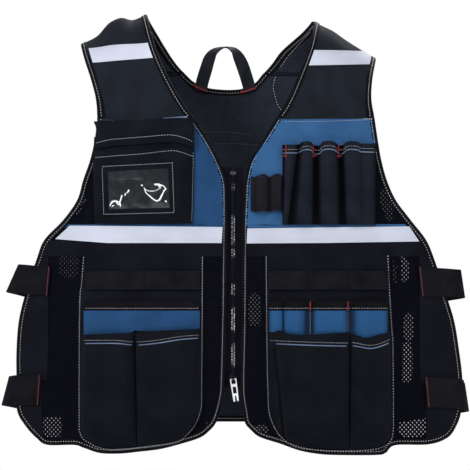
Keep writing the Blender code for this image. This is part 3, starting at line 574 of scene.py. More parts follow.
for side, end in ((-1, "left"), (1, "right")):
    left, foot, right = u_shape(WAIST[side], WAIST_CORNER)
    panel = fill([left[0], right[0]], right, foot, left)
    arm = shrink(line(SIDE[side]), -side * INSET)
    neck = shrink(line(NECK[side]), side * INSET)
    rows = np.linspace(WAIST_TOP, WAIST_FOOT, 8)
    left, right = [beside_edge(edge, rows) for edge in ((arm, neck) if side < 0 else (neck, arm))]
    band = fill([left[0], right[0]], right, [left[-1], right[-1]], left)
    strip_edge = arm[arm[:, 1] > WAIST_FOOT]
    hem = shrink(line(HEM[side]), side * INSET)
    hem = hem[(hem[:, 0] - SIDE_STRIP[side][-1][0]) * side > 0]
    corner = np.vstack([strip_edge, hem[::-1]])
    spine = line([*SIDE_STRIP[side][:-1], hem[0]], 60)
    left, right = (corner, spine) if side < 0 else (spine, corner)
    strip = fill([left[0], right[0]], right, [left[-1], right[-1]], left)
    plies = [on_front(panel, PLY + CLOTH), on_front(band, PLY + CLOTH + 0.0002)]
    waist = cloth(f"waist_panel_cloth_{end}", plies, CLOTH, black_cloth)
    stand_for(waist, f"waist_panel_{end}")
    strip_cloth = cloth(f"side_strip_{end}", on_front(strip, PLY + CLOTH), CLOTH, black_cloth)
    stand_for(strip_cloth, f"side_panel_{end}")

# Edge bindings and their stitching
# Folded binding wraps every raw edge of the fronts and back. A row of pale thread runs along its inner side;
# each stitch is a short body, sunk at both ends.
BINDING_WIDTH = 0.0082
BINDING_UNDER = 0.0012
BINDING_OVER = 0.0031
STITCH_PITCH = 0.0041
STITCH_LENGTH = 0.0020
THREAD = 0.00046


def ribbed(name, dark, light, rib, depth=0.00025, twill=0.0):
    """Narrow woven goods: ribs across the run, leaning where twill is set."""
    material, shader, wire, flat, run, rise = start_finish(name)
    lean = (rise * (pi / 0.0045)).sine().size() * twill
    ribs = (run * (2 * pi / rib) + lean).sine()
    ends = (rise * (2 * pi / (rib * 0.7))).sine()
    cloud = wire.noise(flat, 35.0, 3.0)
    shade = (ribs * 0.14 + ends * 0.06 + cloud).over(0.2, 0.8)
    tone = shade.blend(rgba(*dark), rgba(*light))
    end_finish(wire, shader, tone, cloud * 0.2 + 0.5, ribs + ends * 0.3, depth)
    shader.inputs["Specular IOR Level"].default_value = 0.05
    return material


def thread(name, dark, light, roughness, lean=4000.0):
    """Twisted thread: darker between its strands, which lean by their share across."""
    material, shader, wire, flat, run, rise = start_finish(name)
    twist = (run * 9000.0 + rise * lean).sine()
    end_finish(wire, shader, twist.over(-1.0, 1.0).blend(rgba(*dark), rgba(*light)), roughness, twist, 0.0001)
    return material


binding = ribbed("binding", (0.003, 0.003, 0.0045), (0.008, 0.008, 0.011), 0.0011)
pale_thread = thread("pale_thread", (0.46, 0.47, 0.51), (0.74, 0.75, 0.80), 0.55)
dark_thread = ribbed("dark_thread", (0.004, 0.004, 0.005), (0.01, 0.01, 0.012), 0.0006)


def travel(points):
    """How far along a line each of its points lies."""
    return np.concatenate([[0], np.cumsum(np.linalg.norm(np.diff(points, axis=0), axis=1))])


def sleeve(name, rings, reach, around, finish, probe=0):
    """A closed strip from its profile's lines, in order round it; the probe ring tells which way is out."""
    points = np.stack(rings)
    count, steps = points.shape[:2]
    index = np.arange(count * steps).reshape(count, steps)
    after = np.roll(index, -1, axis=0)
    quads = np.stack([index[:, :-1], after[:, :-1], after[:, 1:], index[:, 1:]], -1).reshape(-1, 4)
    first = points.reshape(-1, 3)[quads[probe * (steps - 1)]]
    facing = np.cross(first[1] - first[0], first[2] - first[0])
    if facing @ (first[0] - points[:, 0].mean(0)) < 0:
        quads = quads[:, ::-1]
    faces = quads.tolist() + [index[:, 0].tolist(), index[::-1, -1].tolist()]
    flat = np.stack(np.broadcast_arrays(reach[None, :], around[:, None]), -1).reshape(-1, 2)
    return add_mesh(name, points.reshape(-1, 3), faces, flat, finish)


def bind(name, edge, inward, place, over, finish, width=BINDING_WIDTH):
    """A folded binding round an edge: its profile is swept along, with a groove where it is stitched."""
    under = BINDING_UNDER
    profile = [(1.0, over - 0.0005), (0.93, over), (0.74, over + 0.0001), (0.63, over - 0.0003),
               (0.52, over + 0.0001), (0.3, over + 0.0002), (0.1, over - 0.0004), (0.0, (over - under) / 2),
               (0.1, 0.0004 - under), (0.4, -under), (0.7, -under), (1.0, 0.0004 - under)]
    reach = travel(edge) * ACROSS
    pucker = 0.00012 * np.sin(reach * 900.0) + 0.0001 * np.sin(reach * 370.0 + 1.0)
    rings = [place(shrink(edge, inward * share * width / ACROSS), lift + pucker) for share, lift in profile]
    steps = [width * abs(b[0] - a[0]) + abs(b[1] - a[1]) for a, b in zip(profile, profile[1:])]
    return sleeve(name, rings, reach, np.cumsum([0.0] + steps), finish)


def stitch(name, runs, finish, pitch=STITCH_PITCH, long=STITCH_LENGTH, thick=THREAD, across=False):
    """Rows of stitches. A run is points on the cloth and the way up from it; across lays each one sideways.

    Each stitch is four rings of five points: a share along it, a girth and how far it stands off the cloth.
    """
    rings = [(-0.5, 0.35, -0.9), (-0.3, 1.0, 0.2), (0.3, 1.0, 0.2), (0.5, 0.35, -0.9)]
    turns = np.arange(5) * 2 * pi / 5
    corners = len(rings) * 5
    all_points, all_faces, all_flat = [], [], []
    start = 0
    for points, up in runs:
        reach = travel(points)
        at = np.arange(pitch / 2, reach[-1], pitch)
        here, ahead, behind = [
            np.stack([np.interp(at + step, reach, points[:, axis]) for axis in range(3)], -1)
            for step in (0.0, pitch / 2, -pitch / 2)]
        above = np.stack([np.interp(at, reach, up[:, axis]) for axis in range(3)], -1)
        along = ahead - behind
        along /= np.linalg.norm(along, axis=1, keepdims=True) + 1e-12
        beside = np.cross(along, above)
        beside /= np.linalg.norm(beside, axis=1, keepdims=True) + 1e-12
        if across:
            along, beside = beside, along
        rise = np.cross(beside, along)
        rise *= np.sign((rise * above).sum(1, keepdims=True))
        body = [here + along * share * long + beside * cos(turn) * girth * thick
                + rise * (sin(turn) * girth + sunk) * thick
                for share, girth, sunk in rings for turn in turns]
        all_points.append(np.stack(body, 1).reshape(-1, 3))
        count = len(at)
        ids = np.arange(count)[:, None] * corners + start
        for ring in range(len(rings) - 1):
            for turn in range(5):
                a, b = ring * 5 + turn, ring * 5 + (turn + 1) % 5
                all_faces.append(ids + np.array([[a, b, b + 5, a + 5]]))
        all_faces += [ids + np.array([[4, 3, 2, 1, 0]]), ids + np.array([[15, 16, 17, 18, 19]])]
        spread = np.repeat(np.arange(len(rings)), 5) * long / 3
        turned = np.tile(turns, len(rings)) * thick
        all_flat.append(np.tile(np.stack([spread, turned], -1), (count, 1)))
        start += corners * count
    faces = [face for group in all_faces for face in group.tolist()]
    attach(add_mesh(name, np.vstack(all_points), faces, np.vstack(all_flat), finish), "vest")


def row_on(place, spots, lift, smooth=True):
    """A stitching run: a line of pattern squares on a surface, and the way up from it."""
    path = line(spots, max(int(length(spots)), 3), smooth)
    points = place(path, lift)
    up = place(path, lift + 0.0005) - points
    return points, up / np.linalg.norm(up, axis=1, keepdims=True)


BINDING_SEWN = {"front": 3.6, "back": 3.4}
front_runs = []
for side, end in ((-1, "left"), (1, "right")):
    neck = below(NECK[side], SEAM)
    arm = below(SIDE[side], SEAM)
    edge = line(np.vstack([neck, HEM[side][1:], arm[::-1][1:]]), 900)
    strip = bind(f"edge_binding_{end}", edge, side, on_front, BINDING_OVER, binding)
    stand_for(strip, f"front_binding_{end}")
    front_runs.append(row_on(on_front, shrink(edge, side * BINDING_SEWN["front"]), BINDING_OVER - 0.0001))
stitch("front_edge_stitching", front_runs, pale_thread)

back_sides = [below(BACK_SIDE[side], BACK_SEAM) for side in (-1, 1)]
back_edge = line(np.vstack([back_sides[0], BACK_HEM[1:-1], back_sides[1][::-1]]), 700)
strip = bind("back_edge_binding", back_edge, 1, on_back, BINDING_OVER, binding)
stand_for(strip, "back_binding")
nape_edge = line([(183, 70.6), *NECKLINE, (265.4, 70.4)], 170)
strip = bind("nape_binding", nape_edge, -1, on_back, BINDING_OVER, binding)
stand_for(strip, "back_neck_binding")


def inside_back(spots, lift=0.0):
    """Pattern squares on the inner face of the back, a lift inside it."""
    return on_back(spots, -lift)


sewn_lines = [shrink(nape_edge, -BINDING_SEWN["back"]), shrink(back_edge, BINDING_SEWN["back"])]
inside_rows = [row_on(inside_back, sewn, BINDING_UNDER + 0.0002) for sewn in sewn_lines]
stitch("inside_back_stitching", inside_rows, pale_thread)
grey_thread = thread("grey_thread", (0.10, 0.105, 0.13), (0.17, 0.175, 0.21), 0.6, lean=0.0)
cross_rows = [
    row_on(inside_back, [(203, 131.6), (226, 131.0), (249, 133.4)], 0.0002),
    row_on(inside_back, [(214, 143), (234, 143), (258, 144.2)], 0.0002),
]
stitch("cross_back_stitching", cross_rows, grey_thread, pitch=0.0046, long=0.0018)
outside_rows = [row_on(on_back, sewn, BINDING_OVER) for sewn in sewn_lines]
stitch("outside_back_stitching", outside_rows, pale_thread)

# Shoulder yokes
# Coated black cloth goes over each shoulder from the front seam to the back seam, in a soft hump. It is bound
# at the neck and armhole, and blue-grey cloth is turned up at the foot of the left one.

# RIDGE gives the row of the ridge at the neck and at the armhole. HUMP gives a height in squares, a middle
# and a width in shares, and a power.
RIDGE_SHARE = 0.47
RIDGE = {-1: (15.6, 46.0), 1: (22.4, 60.6)}
HUMP = {-1: (9.0, 0.48, 0.20, 3), 1: (1.6, 0.30, 0.15, 2)}
FRONT_BOW = 0.003
BACK_BOW = 0.001
YOKE = 0.003
YOKE_SHARES = (0.02, 0.98)
YOKE_LAP = {-1: 121.4, 1: 118.4}
YOKE_BINDING = 0.085
# A lighter copy of the black cloth: painted light for the yokes, whose slopes face up to the lamps.
yoke_cloth = woven("yoke_cloth", (0.0068, 0.0086, 0.0130), (0.0126, 0.0162, 0.0240), shine=0.05)


def yoke_end(side, turn, table, back_table, ridge):
    """Where one end of each row across a yoke lies; turn is -1 at the front seam and 1 at the back seam."""
    climb = np.sin((1 - np.abs(turn)) * pi / 2)
    reach = np.cos((1 - np.abs(turn)) * pi / 2)
    seam = np.where(turn < 0, SEAM, BACK_SEAM)
    down = seam + (ridge - seam) * climb
    across = np.where(turn < 0, across_at(line(table), down), across_at(line(back_table), down))
    x = (across - NAPE_ACROSS) * ACROSS
    wrap = (np.abs(x) / HALF) ** WRAP_POWER
    low = np.where(turn < 0, FRONT_WRAP * wrap - GIRTH, -BACK_WRAP * wrap)
    y = -GIRTH * RIDGE_SHARE + (low + GIRTH * RIDGE_SHARE) * reach
    return np.stack([x, y, (NAPE_DOWN - down) * DOWN], -1), climb


def on_yoke(side):
    """A surface that places (share across from the neck, turn) on one yoke, a lift outside it."""
    def flat(spots):
        share, turn = spots[..., :1], spots[..., 1]
        neck, climb = yoke_end(side, turn, NECK[side], BACK_NECK[side], RIDGE[side][0])
        arm, climb = yoke_end(side, turn, SIDE[side], BACK_SIDE[side], RIDGE[side][1])
        high, middle, wide, power = HUMP[side]
        hump = high * DOWN * np.exp(-(np.abs(share[..., 0] - middle) / wide) ** power) * climb ** 10
        spot = neck + (arm - neck) * share
        spot[..., 2] += hump
        spot[..., 1] -= np.where(turn < 0, FRONT_BOW, -BACK_BOW) * 4 * (share * (1 - share))[..., 0]
        return spot

    def placed(spots, lift=0.0):
        share, turn = spots[..., 0], spots[..., 1]
        step = 0.03
        low = np.stack([share, np.maximum(turn - step, -1.0)], -1)
        high = np.stack([share, np.minimum(turn + step, 1.0)], -1)
        along = flat(high) - flat(low)
        across = flat(np.stack([share * 0 + 1.0, turn], -1)) - flat(np.stack([share * 0, turn], -1))
        normal = np.cross(along, across) * (-side)
        seam = (np.abs(turn) > 0.96)[..., None]
        level = np.stack([turn * 0, np.sign(turn), turn * 0], -1)
        normal = np.where(seam, level, normal)
        normal /= np.linalg.norm(normal, axis=-1, keepdims=True)
        return flat(spots) + normal * np.asarray(lift)[..., None]

    return placed


def plot(ends, turns, side, rows, columns):
    """A grid of a yoke that runs from the back over the shoulder and down the front, left to right."""
    left, right = ends[::side]
    share, turn = np.meshgrid(np.linspace(left, right, columns), np.linspace(turns[1], turns[0], rows))
    return np.stack([share, turn], -1)


def rolled_out(grid):
    """Cloth directions of a grid, measured along it in metres."""
    right = np.linalg.norm(np.diff(grid, axis=1, prepend=grid[:, :1]), axis=2)
    down = np.linalg.norm(np.diff(grid, axis=0, prepend=grid[:1]), axis=2)
    return np.stack([np.cumsum(right, axis=1), -np.cumsum(down, axis=0)], -1)


def front_turn(side, share, down):
    """The turn at which the front of a yoke passes this row of the pattern."""
    ridge = RIDGE[side][0] + (RIDGE[side][1] - RIDGE[side][0]) * share
    return np.arcsin(np.clip((SEAM - down) / (SEAM - ridge), 0.0, 1.0)) * 2 / pi - 1


YOKE_PROFILE = [(1.0, 0.0036), (0.9, 0.0042), (0.72, 0.0043), (0.62, 0.0038), (0.5, 0.0043), (0.3, 0.0043),
                (0.1, 0.0036), (0.0, 0.0018), (0.1, -0.0008), (0.5, -0.0012), (1.0, -0.0010)]
YOKE_EDGES = [("neck", 0.0, YOKE_BINDING, 0.048), ("arm", 1.0, 1.0 - YOKE_BINDING, 0.955)]
YOKE_STEPS = 150
STITCH_STEPS = 240
for side, end, size in ((-1, "left", (0.146, 0.375, 0.0352)), (1, "right", (0.151, 0.363, 0.0322))):
    place_yoke = on_yoke(side)
    plan = plot(YOKE_SHARES, (-1.0, 1.0), side, 90, 60)
    fading = np.clip(1 - np.abs(plan[..., 1]) ** 6, 0, 1)
    ripple = 0.0007 * np.sin(plan[..., 1] * 19.0 + plan[..., 0] * 3.0) * fading
    grid = place_yoke(plan, YOKE + ripple)
    rows = (SEAM - 1.0, YOKE_LAP[side])
    tables = (SIDE, NECK) if side < 0 else (NECK, SIDE)
    left, right = [beside_edge(line(table[side]), rows) for table in tables]
    flap_plan = fill([left[0], right[0]], right, [left[1], right[1]], left, 1.0, smooth=False)
    flap_grid = on_front(flap_plan, YOKE + 0.0002)
    yoke = cloth(f"yoke_cloth_{end}", [grid, flap_grid], YOKE, yoke_cloth,
                 [rolled_out(grid), rolled_out(flap_grid)])
    stand_for(yoke, f"yoke_{end}")
    runs = []
    for word, near, far, sewn_share in YOKE_EDGES:
        turns = np.linspace(-1.0, 1.0, YOKE_STEPS)
        rings = []
        for share, lift in YOKE_PROFILE:
            row = np.full(YOKE_STEPS, near + (far - near) * share)
            rings.append(place_yoke(np.stack([row, turns], -1), lift + 0.0001 * np.sin(turns * 110.0)))
        spread = np.linspace(0.0, 2 * BINDING_WIDTH, len(rings))
        strip = sleeve(f"yoke_{word}_binding_strip_{end}", rings, travel(rings[0]), spread, binding, probe=3)
        stand_for(strip, f"yoke_{word}_binding_{end}")
        sewn = np.stack([np.full(STITCH_STEPS, sewn_share), np.linspace(-0.99, 0.97, STITCH_STEPS)], -1)
        lifts = (0.0042, 0.0052, -0.0012)
        outside, above, inside = [place_yoke(sewn, np.full(STITCH_STEPS, lift)) for lift in lifts]
        up = (above - outside) / 0.001
        runs += [(outside, up), (inside, -up)]
    stitch(f"yoke_stitching_{end}", runs, pale_thread)

piping = ribbed("blue_grey_piping", (0.085, 0.115, 0.20), (0.17, 0.22, 0.34), 0.0009, 0.0001)
foot_line = [(284.5, 121.2), (300, 121.6), (330, 121.2), (350, 120.4), (370, 119.6)]
foot_row = row_on(on_front, foot_line, PLY + CLOTH + 0.0014)
stitch("yoke_foot_stitching", [foot_row], pale_thread, thick=0.0003)
faint_row = [row_on(on_front, [(102.6, 120.0), (113, 120.2)], YOKE + 0.0004)]
stitch("yoke_corner_stitching", faint_row, grey_thread)
plan = fill([(163, 118.0), (187, 116.0)], [(187, 116.0), (187.6, 117.9)],
            [(163, 118.4), (187.6, 117.9)], [(163, 118.0), (163, 118.4)], 1.0)
turned_edge = cloth("chest_panel_turned_edge", on_front(plan, YOKE + 0.0024), 0.0008, piping)
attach(turned_edge, "vest")

# Reflective tapes
# Silvery lavender tape, 25 mm wide, over each shoulder and across the chest, sewn close to both edges.
TAPE = 0.0008
SHOULDER_TAPE = {
    -1: [(0.085, 44.3), (0.90, 50.3), (0.90, 64.2), (0.085, 58.8)],
    1: [(0.085, 51.5), (0.915, 53.4), (0.915, 66.0), (0.085, 66.4)],
}
CHEST_TAPE = {
    -1: [(69.6, 225.6), (222.6, 227), (221.6, 243), (107, 243), (55, 239)],
    1: [(247.4, 228.4), (409.5, 226.4), (419.5, 241.4), (330, 242.9), (246.6, 243.4)],
}
material, shader, wire, flat, run, rise = start_finish("reflective_tape")
bead = wire.noise(flat, 2500.0, 1.0)
cell = (run * (2 * pi / 0.0016)).sine() * (rise * (2 * pi / 0.0016)).sine()
cloud = wire.noise(flat, 14.0, 3.0)
shade = (cloud * 0.8 + bead * 0.2 + cell * 0.05).over(0.3, 0.7)
silvery = shade.blend(rgba(0.39, 0.42, 0.50), rgba(0.47, 0.50, 0.60))
end_finish(wire, shader, silvery, cloud * 0.2 + 0.45, bead + cell * 0.4, 0.00008)
reflective = material
tape_runs = []
for side, end in ((-1, "left"), (1, "right")):
    place_yoke = on_yoke(side)
    (near, near_high), (far, far_high), (_, far_low), (_, near_low) = SHOULDER_TAPE[side]
    share = np.linspace(near, far, 50)
    upper = np.interp(share, [near, far], [near_high, far_high])
    lower = np.interp(share, [near, far], [near_low, far_low])
    rows = [upper + (lower - upper) * part for part in np.linspace(0, 1, 12)]
    plan = np.stack([np.stack([share, front_turn(side, share, row)], -1) for row in rows])
    if side < 0:
        plan = plan[:, ::-1]
    grid = place_yoke(plan, np.full(plan.shape[:2], YOKE + 0.0017))
    tape = cloth(f"shoulder_reflector_{end}", grid, TAPE, reflective, [rolled_out(grid)])
    stand_for(tape, f"shoulder_tape_{end}")
    for part in (1, -2):
        points = grid[part]
        tape_runs.append((points, np.tile([0.0, -1.0, 0.0], (len(points), 1))))
    corners = CHEST_TAPE[side]
    plan = fill(corners[:2], corners[1:3], corners[4:1:-1], [corners[0], corners[4]], smooth=False)
    tape = cloth(f"chest_reflector_{end}", on_front(plan, PLY + CLOTH + TAPE), TAPE + 0.0004, reflective)
    stand_for(tape, f"chest_tape_{end}")
    for part in (0.16, 0.86):
        row = plan[int(part * (len(plan) - 1))]
        tape_runs.append(row_on(on_front, row, PLY + CLOTH + TAPE, smooth=False))
silver_thread = thread("silver_thread", (0.30, 0.30, 0.38), (0.42, 0.42, 0.5), 0.5, lean=0.0)
stitch("tape_stitching", tape_runs, silver_thread, thick=0.00022)

# Shoulder pads
# A foam pad covered in fine mesh lies inside each yoke, crowned at its middle and sewn down round its edge,
# and comes a little way down the back.
PAD = 0.004
PAD_GAP = 0.0009
PAD_SHARES = (0.11, 0.89)
PAD_TURNS = (-0.8, 0.96)
PAD_RIM = 0.0012
TAIL_RIM = 0.0010
TAIL_GAP = 0.0008
PAD_EDGE = {
    -1: [(149, 33), (163, 52), (170, 71), (174, 88), (168, 108), (150, 122), (125, 128)],
    1: [(311, 31), (302, 40), (294, 49), (286, 58), (279, 69), (275, 78), (273.6, 85.5), (275, 93.5),
        (280, 107), (296, 122), (330, 128)],
}


def crowned(share, turned):
    """How full a pad is, from 0 at its sewn edge to 1 at its middle."""
    return np.clip(16 * share * (1 - share) * turned * (1 - turned), 0, 1) ** 0.35


def shares(plan):
    """How far right and how far down each spot of a grid lies, from 0 to 1."""
    rows, columns = plan.shape[:2]
    return np.meshgrid(np.linspace(0, 1, columns), np.linspace(0, 1, rows))


pad_net = net("pad_net", 0.0046, 0.0050, (0.0185, 0.0220, 0.0330), 0.7, hole_shade=(0.0110, 0.0132, 0.0205))
for side, end in ((-1, "left"), (1, "right")):
    place_yoke = on_yoke(side)
    plan = plot(PAD_SHARES, PAD_TURNS, side, 70, 44)
    across = (plan[..., 0] - PAD_SHARES[0]) / np.ptp(PAD_SHARES)
    turned = (plan[..., 1] - PAD_TURNS[0]) / np.ptp(PAD_TURNS)
    full = PAD_RIM + (PAD - PAD_RIM) * crowned(across, turned)
    grid = place_yoke(plan, -PAD_GAP - full)
    pad = cloth(f"padding_{end}", grid, full, pad_net, [rolled_out(grid)], flip=True)
    stand_for(pad, f"shoulder_pad_{end}")
    edge = line(PAD_EDGE[side])
    tail_edge = below(edge, BACK_SEAM + 1.0)
    rows = np.linspace(tail_edge[0][1], tail_edge[-1][1], 40)
    inner = beside_edge(tail_edge, rows)
    outer = beside_edge(line(BACK_SIDE[side]), rows, -side * 7.0)
    near, far = (outer, inner) if side < 0 else (inner, outer)
    plan = fill([near[0], far[0]], far, [near[-1], far[-1]], near)
    full = TAIL_RIM + (PAD - PAD_RIM) * crowned(*shares(plan))
    tail = cloth(f"padding_tail_{end}", inside_back(plan, full + TAIL_GAP), full, pad_net)
    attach(tail, "vest")
    share, turned = np.meshgrid(np.linspace(0.02, 0.6, 120), np.linspace(0.05, 1.0, 160))
    places = place_yoke(np.stack([share, turned], -1), -0.0010)
    picked = []
    for across, down in edge[edge[:, 1] < BACK_SEAM][::2]:
        wanted = np.array([(across - NAPE_ACROSS) * ACROSS, (NAPE_DOWN - down) * DOWN])
        gap = ((places[..., [0, 2]] - wanted) ** 2).sum(-1)
        picked.append(places[np.unravel_index(gap.argmin(), gap.shape)])
    picked = line(picked, 80)
    runs = [(picked, np.tile([0.0, -1.0, 0.0], (80, 1)))]
    runs.append(row_on(inside_back, tail_edge, 0.0022))
    stitch(f"pad_stitching_{end}", runs, pale_thread if side > 0 else dark_thread)

# Chest pocket, flap and pass window
# A black pocket stands off the left chest under a flap, sewn with pale thread. On its wall a frame of cloth
# holds a clear vinyl window for a pass; the vinyl is creased, and its creases carry painted white highlights.
POCKET_BASE = 0.0038
CHEST_DEPTH = 0.0132
FLAP_RISE = 17.0


def soft(at, rows):
    """A smooth reading of a table of (share, value) rows."""
    places, values = np.array(rows, float).T
    fine = np.linspace(places[0], places[-1], 400)
    read = np.interp(fine, places, values)
    window = np.hanning(41)
    padded = np.pad(read, 20, mode="reflect", reflect_type="odd")
    return np.interp(at, fine, np.convolve(padded, window / window.sum(), "valid"))


def on_wall(plan, lifts):
    """A surface that follows a wall: its grid of squares and the lift at each."""
    places, heights = plan.reshape(-1, 2), lifts.ravel()

    def placed(spots, lift=0.0):
        wanted = spots.reshape(-1, 2)
        gap = ((wanted[:, None] - places[None]) ** 2).sum(-1)
        near = np.argpartition(gap, 4, axis=1)[:, :4]
        weight = 1.0 / (np.take_along_axis(gap, near, 1) + 0.02)
        value = (weight * heights[near]).sum(1) / weight.sum(1)
        return on_front(spots, value.reshape(spots.shape[:-1]) + lift)

    return placed


def wall(name, node, plan, stand, finish, thick=CLOTH, crease=None):
    """A pocket's wall: cloth that stands off the panel. Returns the surface of its outer face."""
    lifts = POCKET_BASE + thick + stand
    grid = on_front(plan, lifts)
    stand_for(cloth(name, grid, thick, finish, [rolled_out(grid)], crease=crease), node)
    return on_wall(plan, lifts)


def tube(name, points, radius, finish, sides=8):
    """A round cord laid through points, with closed ends that taper."""
    along = np.gradient(points, axis=0)
    along /= np.linalg.norm(along, axis=1, keepdims=True)
    beside = np.cross(along, [0.0, 1.0, 0.0])
    beside /= np.linalg.norm(beside, axis=1, keepdims=True) + 1e-12
    over = np.cross(beside, along)
    turns = np.arange(sides) * 2 * pi / sides
    thin = np.full(len(points), radius)
    thin[[0, -1]] = radius * 0.5
    ring = beside[:, None] * np.cos(turns)[None, :, None] + over[:, None] * np.sin(turns)[None, :, None]
    body = points[:, None] + ring * thin[:, None, None]
    index = np.arange(len(points) * sides).reshape(-1, sides)
    after = np.roll(index, -1, axis=1)
    quads = np.stack([index[:-1], after[:-1], after[1:], index[1:]], -1).reshape(-1, 4)
    faces = quads[:, ::-1].tolist() + [index[0].tolist(), index[-1, ::-1].tolist()]
    flat = np.stack(np.broadcast_arrays(travel(points)[:, None], turns[None] * radius), -1).reshape(-1, 2)
    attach(add_mesh(name, body.reshape(-1, 3), faces, flat, finish), "vest")


plan = fill([(94, 137), (120, 136), (170, 135.5), (194.4, 137)], [(194.4, 137), (194, 180), (192.6, 223.6)],
            [(94.5, 223.6), (140, 224), (192.6, 223.6)],
            [(94, 137), (93.2, 160), (93.2, 190), (94.5, 223.6)], 1.7)
share, fall = shares(plan)
full = soft(share, [(0, 0.02), (0.05, 0.62), (0.14, 0.92), (0.5, 1.0), (0.86, 0.95), (0.95, 0.6), (1, 0.02)])
deep = soft(fall, [(0, 0.8), (0.3, 1.0), (0.75, 0.92), (0.93, 0.6), (1, 0.05)])
folds = dent(plan, [(120, 149.4, 192, 146.6, -0.0022, 1.0), (98, 152.6, 190, 149.6, 0.0012, 1.2),
                    (150, 151.6, 192, 151, -0.0014, 0.9), (180, 160, 186, 215, -0.0010, 3),
                    (99, 218, 150, 219, -0.0008, 3)])
chest_wall = wall("chest_pocket_wall", "chest_pocket_left", plan,
                  CHEST_DEPTH * full * deep + folds, black_cloth)
flap_foot = [(93.6, 149), (111, 146.4), (131, 144.7), (150, 143.2), (168, 142), (178, 142.6), (187, 145.4),
             (193.4, 148)]
flap_plan = fill([(93.4, 121.4), (140, 119.8), (187.6, 118.2), (194.6, 128)],
                 [(194.6, 128), (194.4, 137), (193.4, 148)], flap_foot,
                 [(93.4, 121.4), (95.8, 128), (95.4, 138), (93.6, 149)], 1.5)
share, fall = shares(flap_plan)
opened = np.clip((flap_plan[..., 1] - 119.6) / FLAP_RISE, 0.0, 1.0)
around = soft(share, [(0, 0.25), (0.05, 0.66), (0.14, 0.93), (0.5, 1.0), (0.86, 0.96), (0.95, 0.68),
                      (1, 0.3)])
flap_lift = POCKET_BASE + CLOTH + 0.0010 + np.sin(opened * pi / 2) * (0.0128 * around + 0.0016)
flap_lift += dent(flap_plan, [(98, 128, 190, 124, -0.0008, 3), (100, 141, 190, 137, -0.0005, 1.5)])
grid = on_front(flap_plan, flap_lift)
flap = cloth("chest_pocket_flap", grid, CLOTH, black_cloth, [rolled_out(grid)])
stand_for(flap, "chest_flap_left")
flap_face = on_wall(flap_plan, flap_lift)
FRAME_OUT = [(101.0, 165.6), (173.2, 161.9), (175.1, 213.5), (102.8, 215.4)]
WINDOW = [(107.4, 171.6), (168.2, 168.4), (169.6, 207.9), (109.2, 209.3)]
grids = []
for corner in range(4):
    after = (corner + 1) % 4
    near = line([FRAME_OUT[corner], FRAME_OUT[after]], 40)
    far = line([WINDOW[corner], WINDOW[after]], 40)
    plan = near[None] + (far - near)[None] * np.linspace(0, 1, 6)[:, None, None]
    grids.append(chest_wall(plan, CLOTH * 0.9 + 0.0004 * np.sin(shares(plan)[1] * pi)))
frame_cloth = cloth("window_frame", grids, CLOTH, black_cloth)
stand_for(frame_cloth, "id_frame")
plan = fill(WINDOW[:2], WINDOW[1:3], WINDOW[:1:-1], [WINDOW[0], WINDOW[3]], 0.5, smooth=False)
# Width and path of each crease: a low ridge in the vinyl with a painted highlight along it.
CREASES = [
    (0.75, [(110, 205.6), (111.5, 203), (114, 201.4), (117.5, 201.4), (120.2, 203.5), (120.4, 206.4)]),
    (0.85, [(116.4, 202), (119, 204.6), (120.5, 200), (122, 195.8)]), (0.5, [(112, 206.6), (114, 205.4)]),
    (0.6, [(124.8, 195.6), (126, 193.6)]), (0.8, [(127.4, 192.6), (129, 190.4)]),
    (0.9, [(141.8, 185.3), (142.2, 185.6)]),
    (0.5, [(145, 189.4), (149, 191), (155, 190.8), (159.6, 188.6)]),
    (1.15, [(155.4, 184.6), (158.5, 184.4), (161.2, 185.6)]), (0.6, [(160, 185), (163.4, 186), (166, 189)]),
    (0.6, [(144.4, 188.2), (146, 192.6), (149.4, 195.8)]),
    (0.8, [(149.4, 195.8), (153.4, 199.2), (156.4, 201)]),
    (0.9, [(156.4, 201), (159.6, 199.8), (162, 195.4)]), (0.7, [(162, 195.4), (164, 191), (166, 189)]),
    (0.7, [(158.6, 185.8), (160.6, 187.8)]), (1.0, [(165.6, 201.2), (166.2, 201.6)]),
]
crease = np.zeros(plan.shape[:2])
for wide, path in CREASES:
    fine = line(path, 30)
    gap = np.sqrt(((plan[:, :, None] - fine[None, None]) ** 2).sum(-1)).min(-1)
    crease = np.maximum(crease, np.exp(-(gap / (0.86 * wide)) ** 2))
ripple = 0.0003 * np.sin(plan[..., 0] / 5.0 + plan[..., 1] / 9.0)
ripple += 0.0002 * np.sin(plan[..., 0] / 3.1 - plan[..., 1] / 4.0)
lip = dent(plan, [(109, 178.6, 168, 177, 0.0002, 1.0), (167.4, 172, 167.8, 205, 0.0003, 1.0)])
grid = chest_wall(plan, CLOTH * 0.6 + ripple + lip + 0.0009 * crease)
material, shader, wire, flat, run, rise = start_finish("creased_vinyl")
# The crease marks turn the film near white: painted highlights where the creases would catch the light.
mark = wire.take(wire.node("Attribute", {"attribute_name": "crease"}), "Fac").over(0.35, 0.75)
haze = wire.noise(flat, 60.0, 3.0).over(0.35, 0.8)
film = haze.blend(rgba(0.009, 0.0105, 0.0135), rgba(0.022, 0.0245, 0.0300))
end_finish(wire, shader, mark.blend(film, rgba(0.9, 0.9, 0.92)), haze * 0.12 + 0.12, haze, 0.0002)
shader.inputs["Specular IOR Level"].default_value = 0.55
shader.inputs["Coat Roughness"].default_value = 0.06
vinyl = material
window = cloth("pass_window_film", grid, 0.0006, vinyl, crease=crease)
stand_for(window, "id_window")
FLAP_ROW = [(96, 143), (111, 139.6), (131, 138), (150, 136.4), (168, 135), (177.5, 136), (187, 139),
            (193, 142)]
WALL_ROW = [(95, 157.6), (113, 156), (140.5, 154), (162, 151.6), (176, 151), (192, 156)]
FRAME_ROW = [(102.0, 166.6), (172.3, 162.9), (174.2, 212.6), (103.8, 214.4), (102.0, 166.6)]
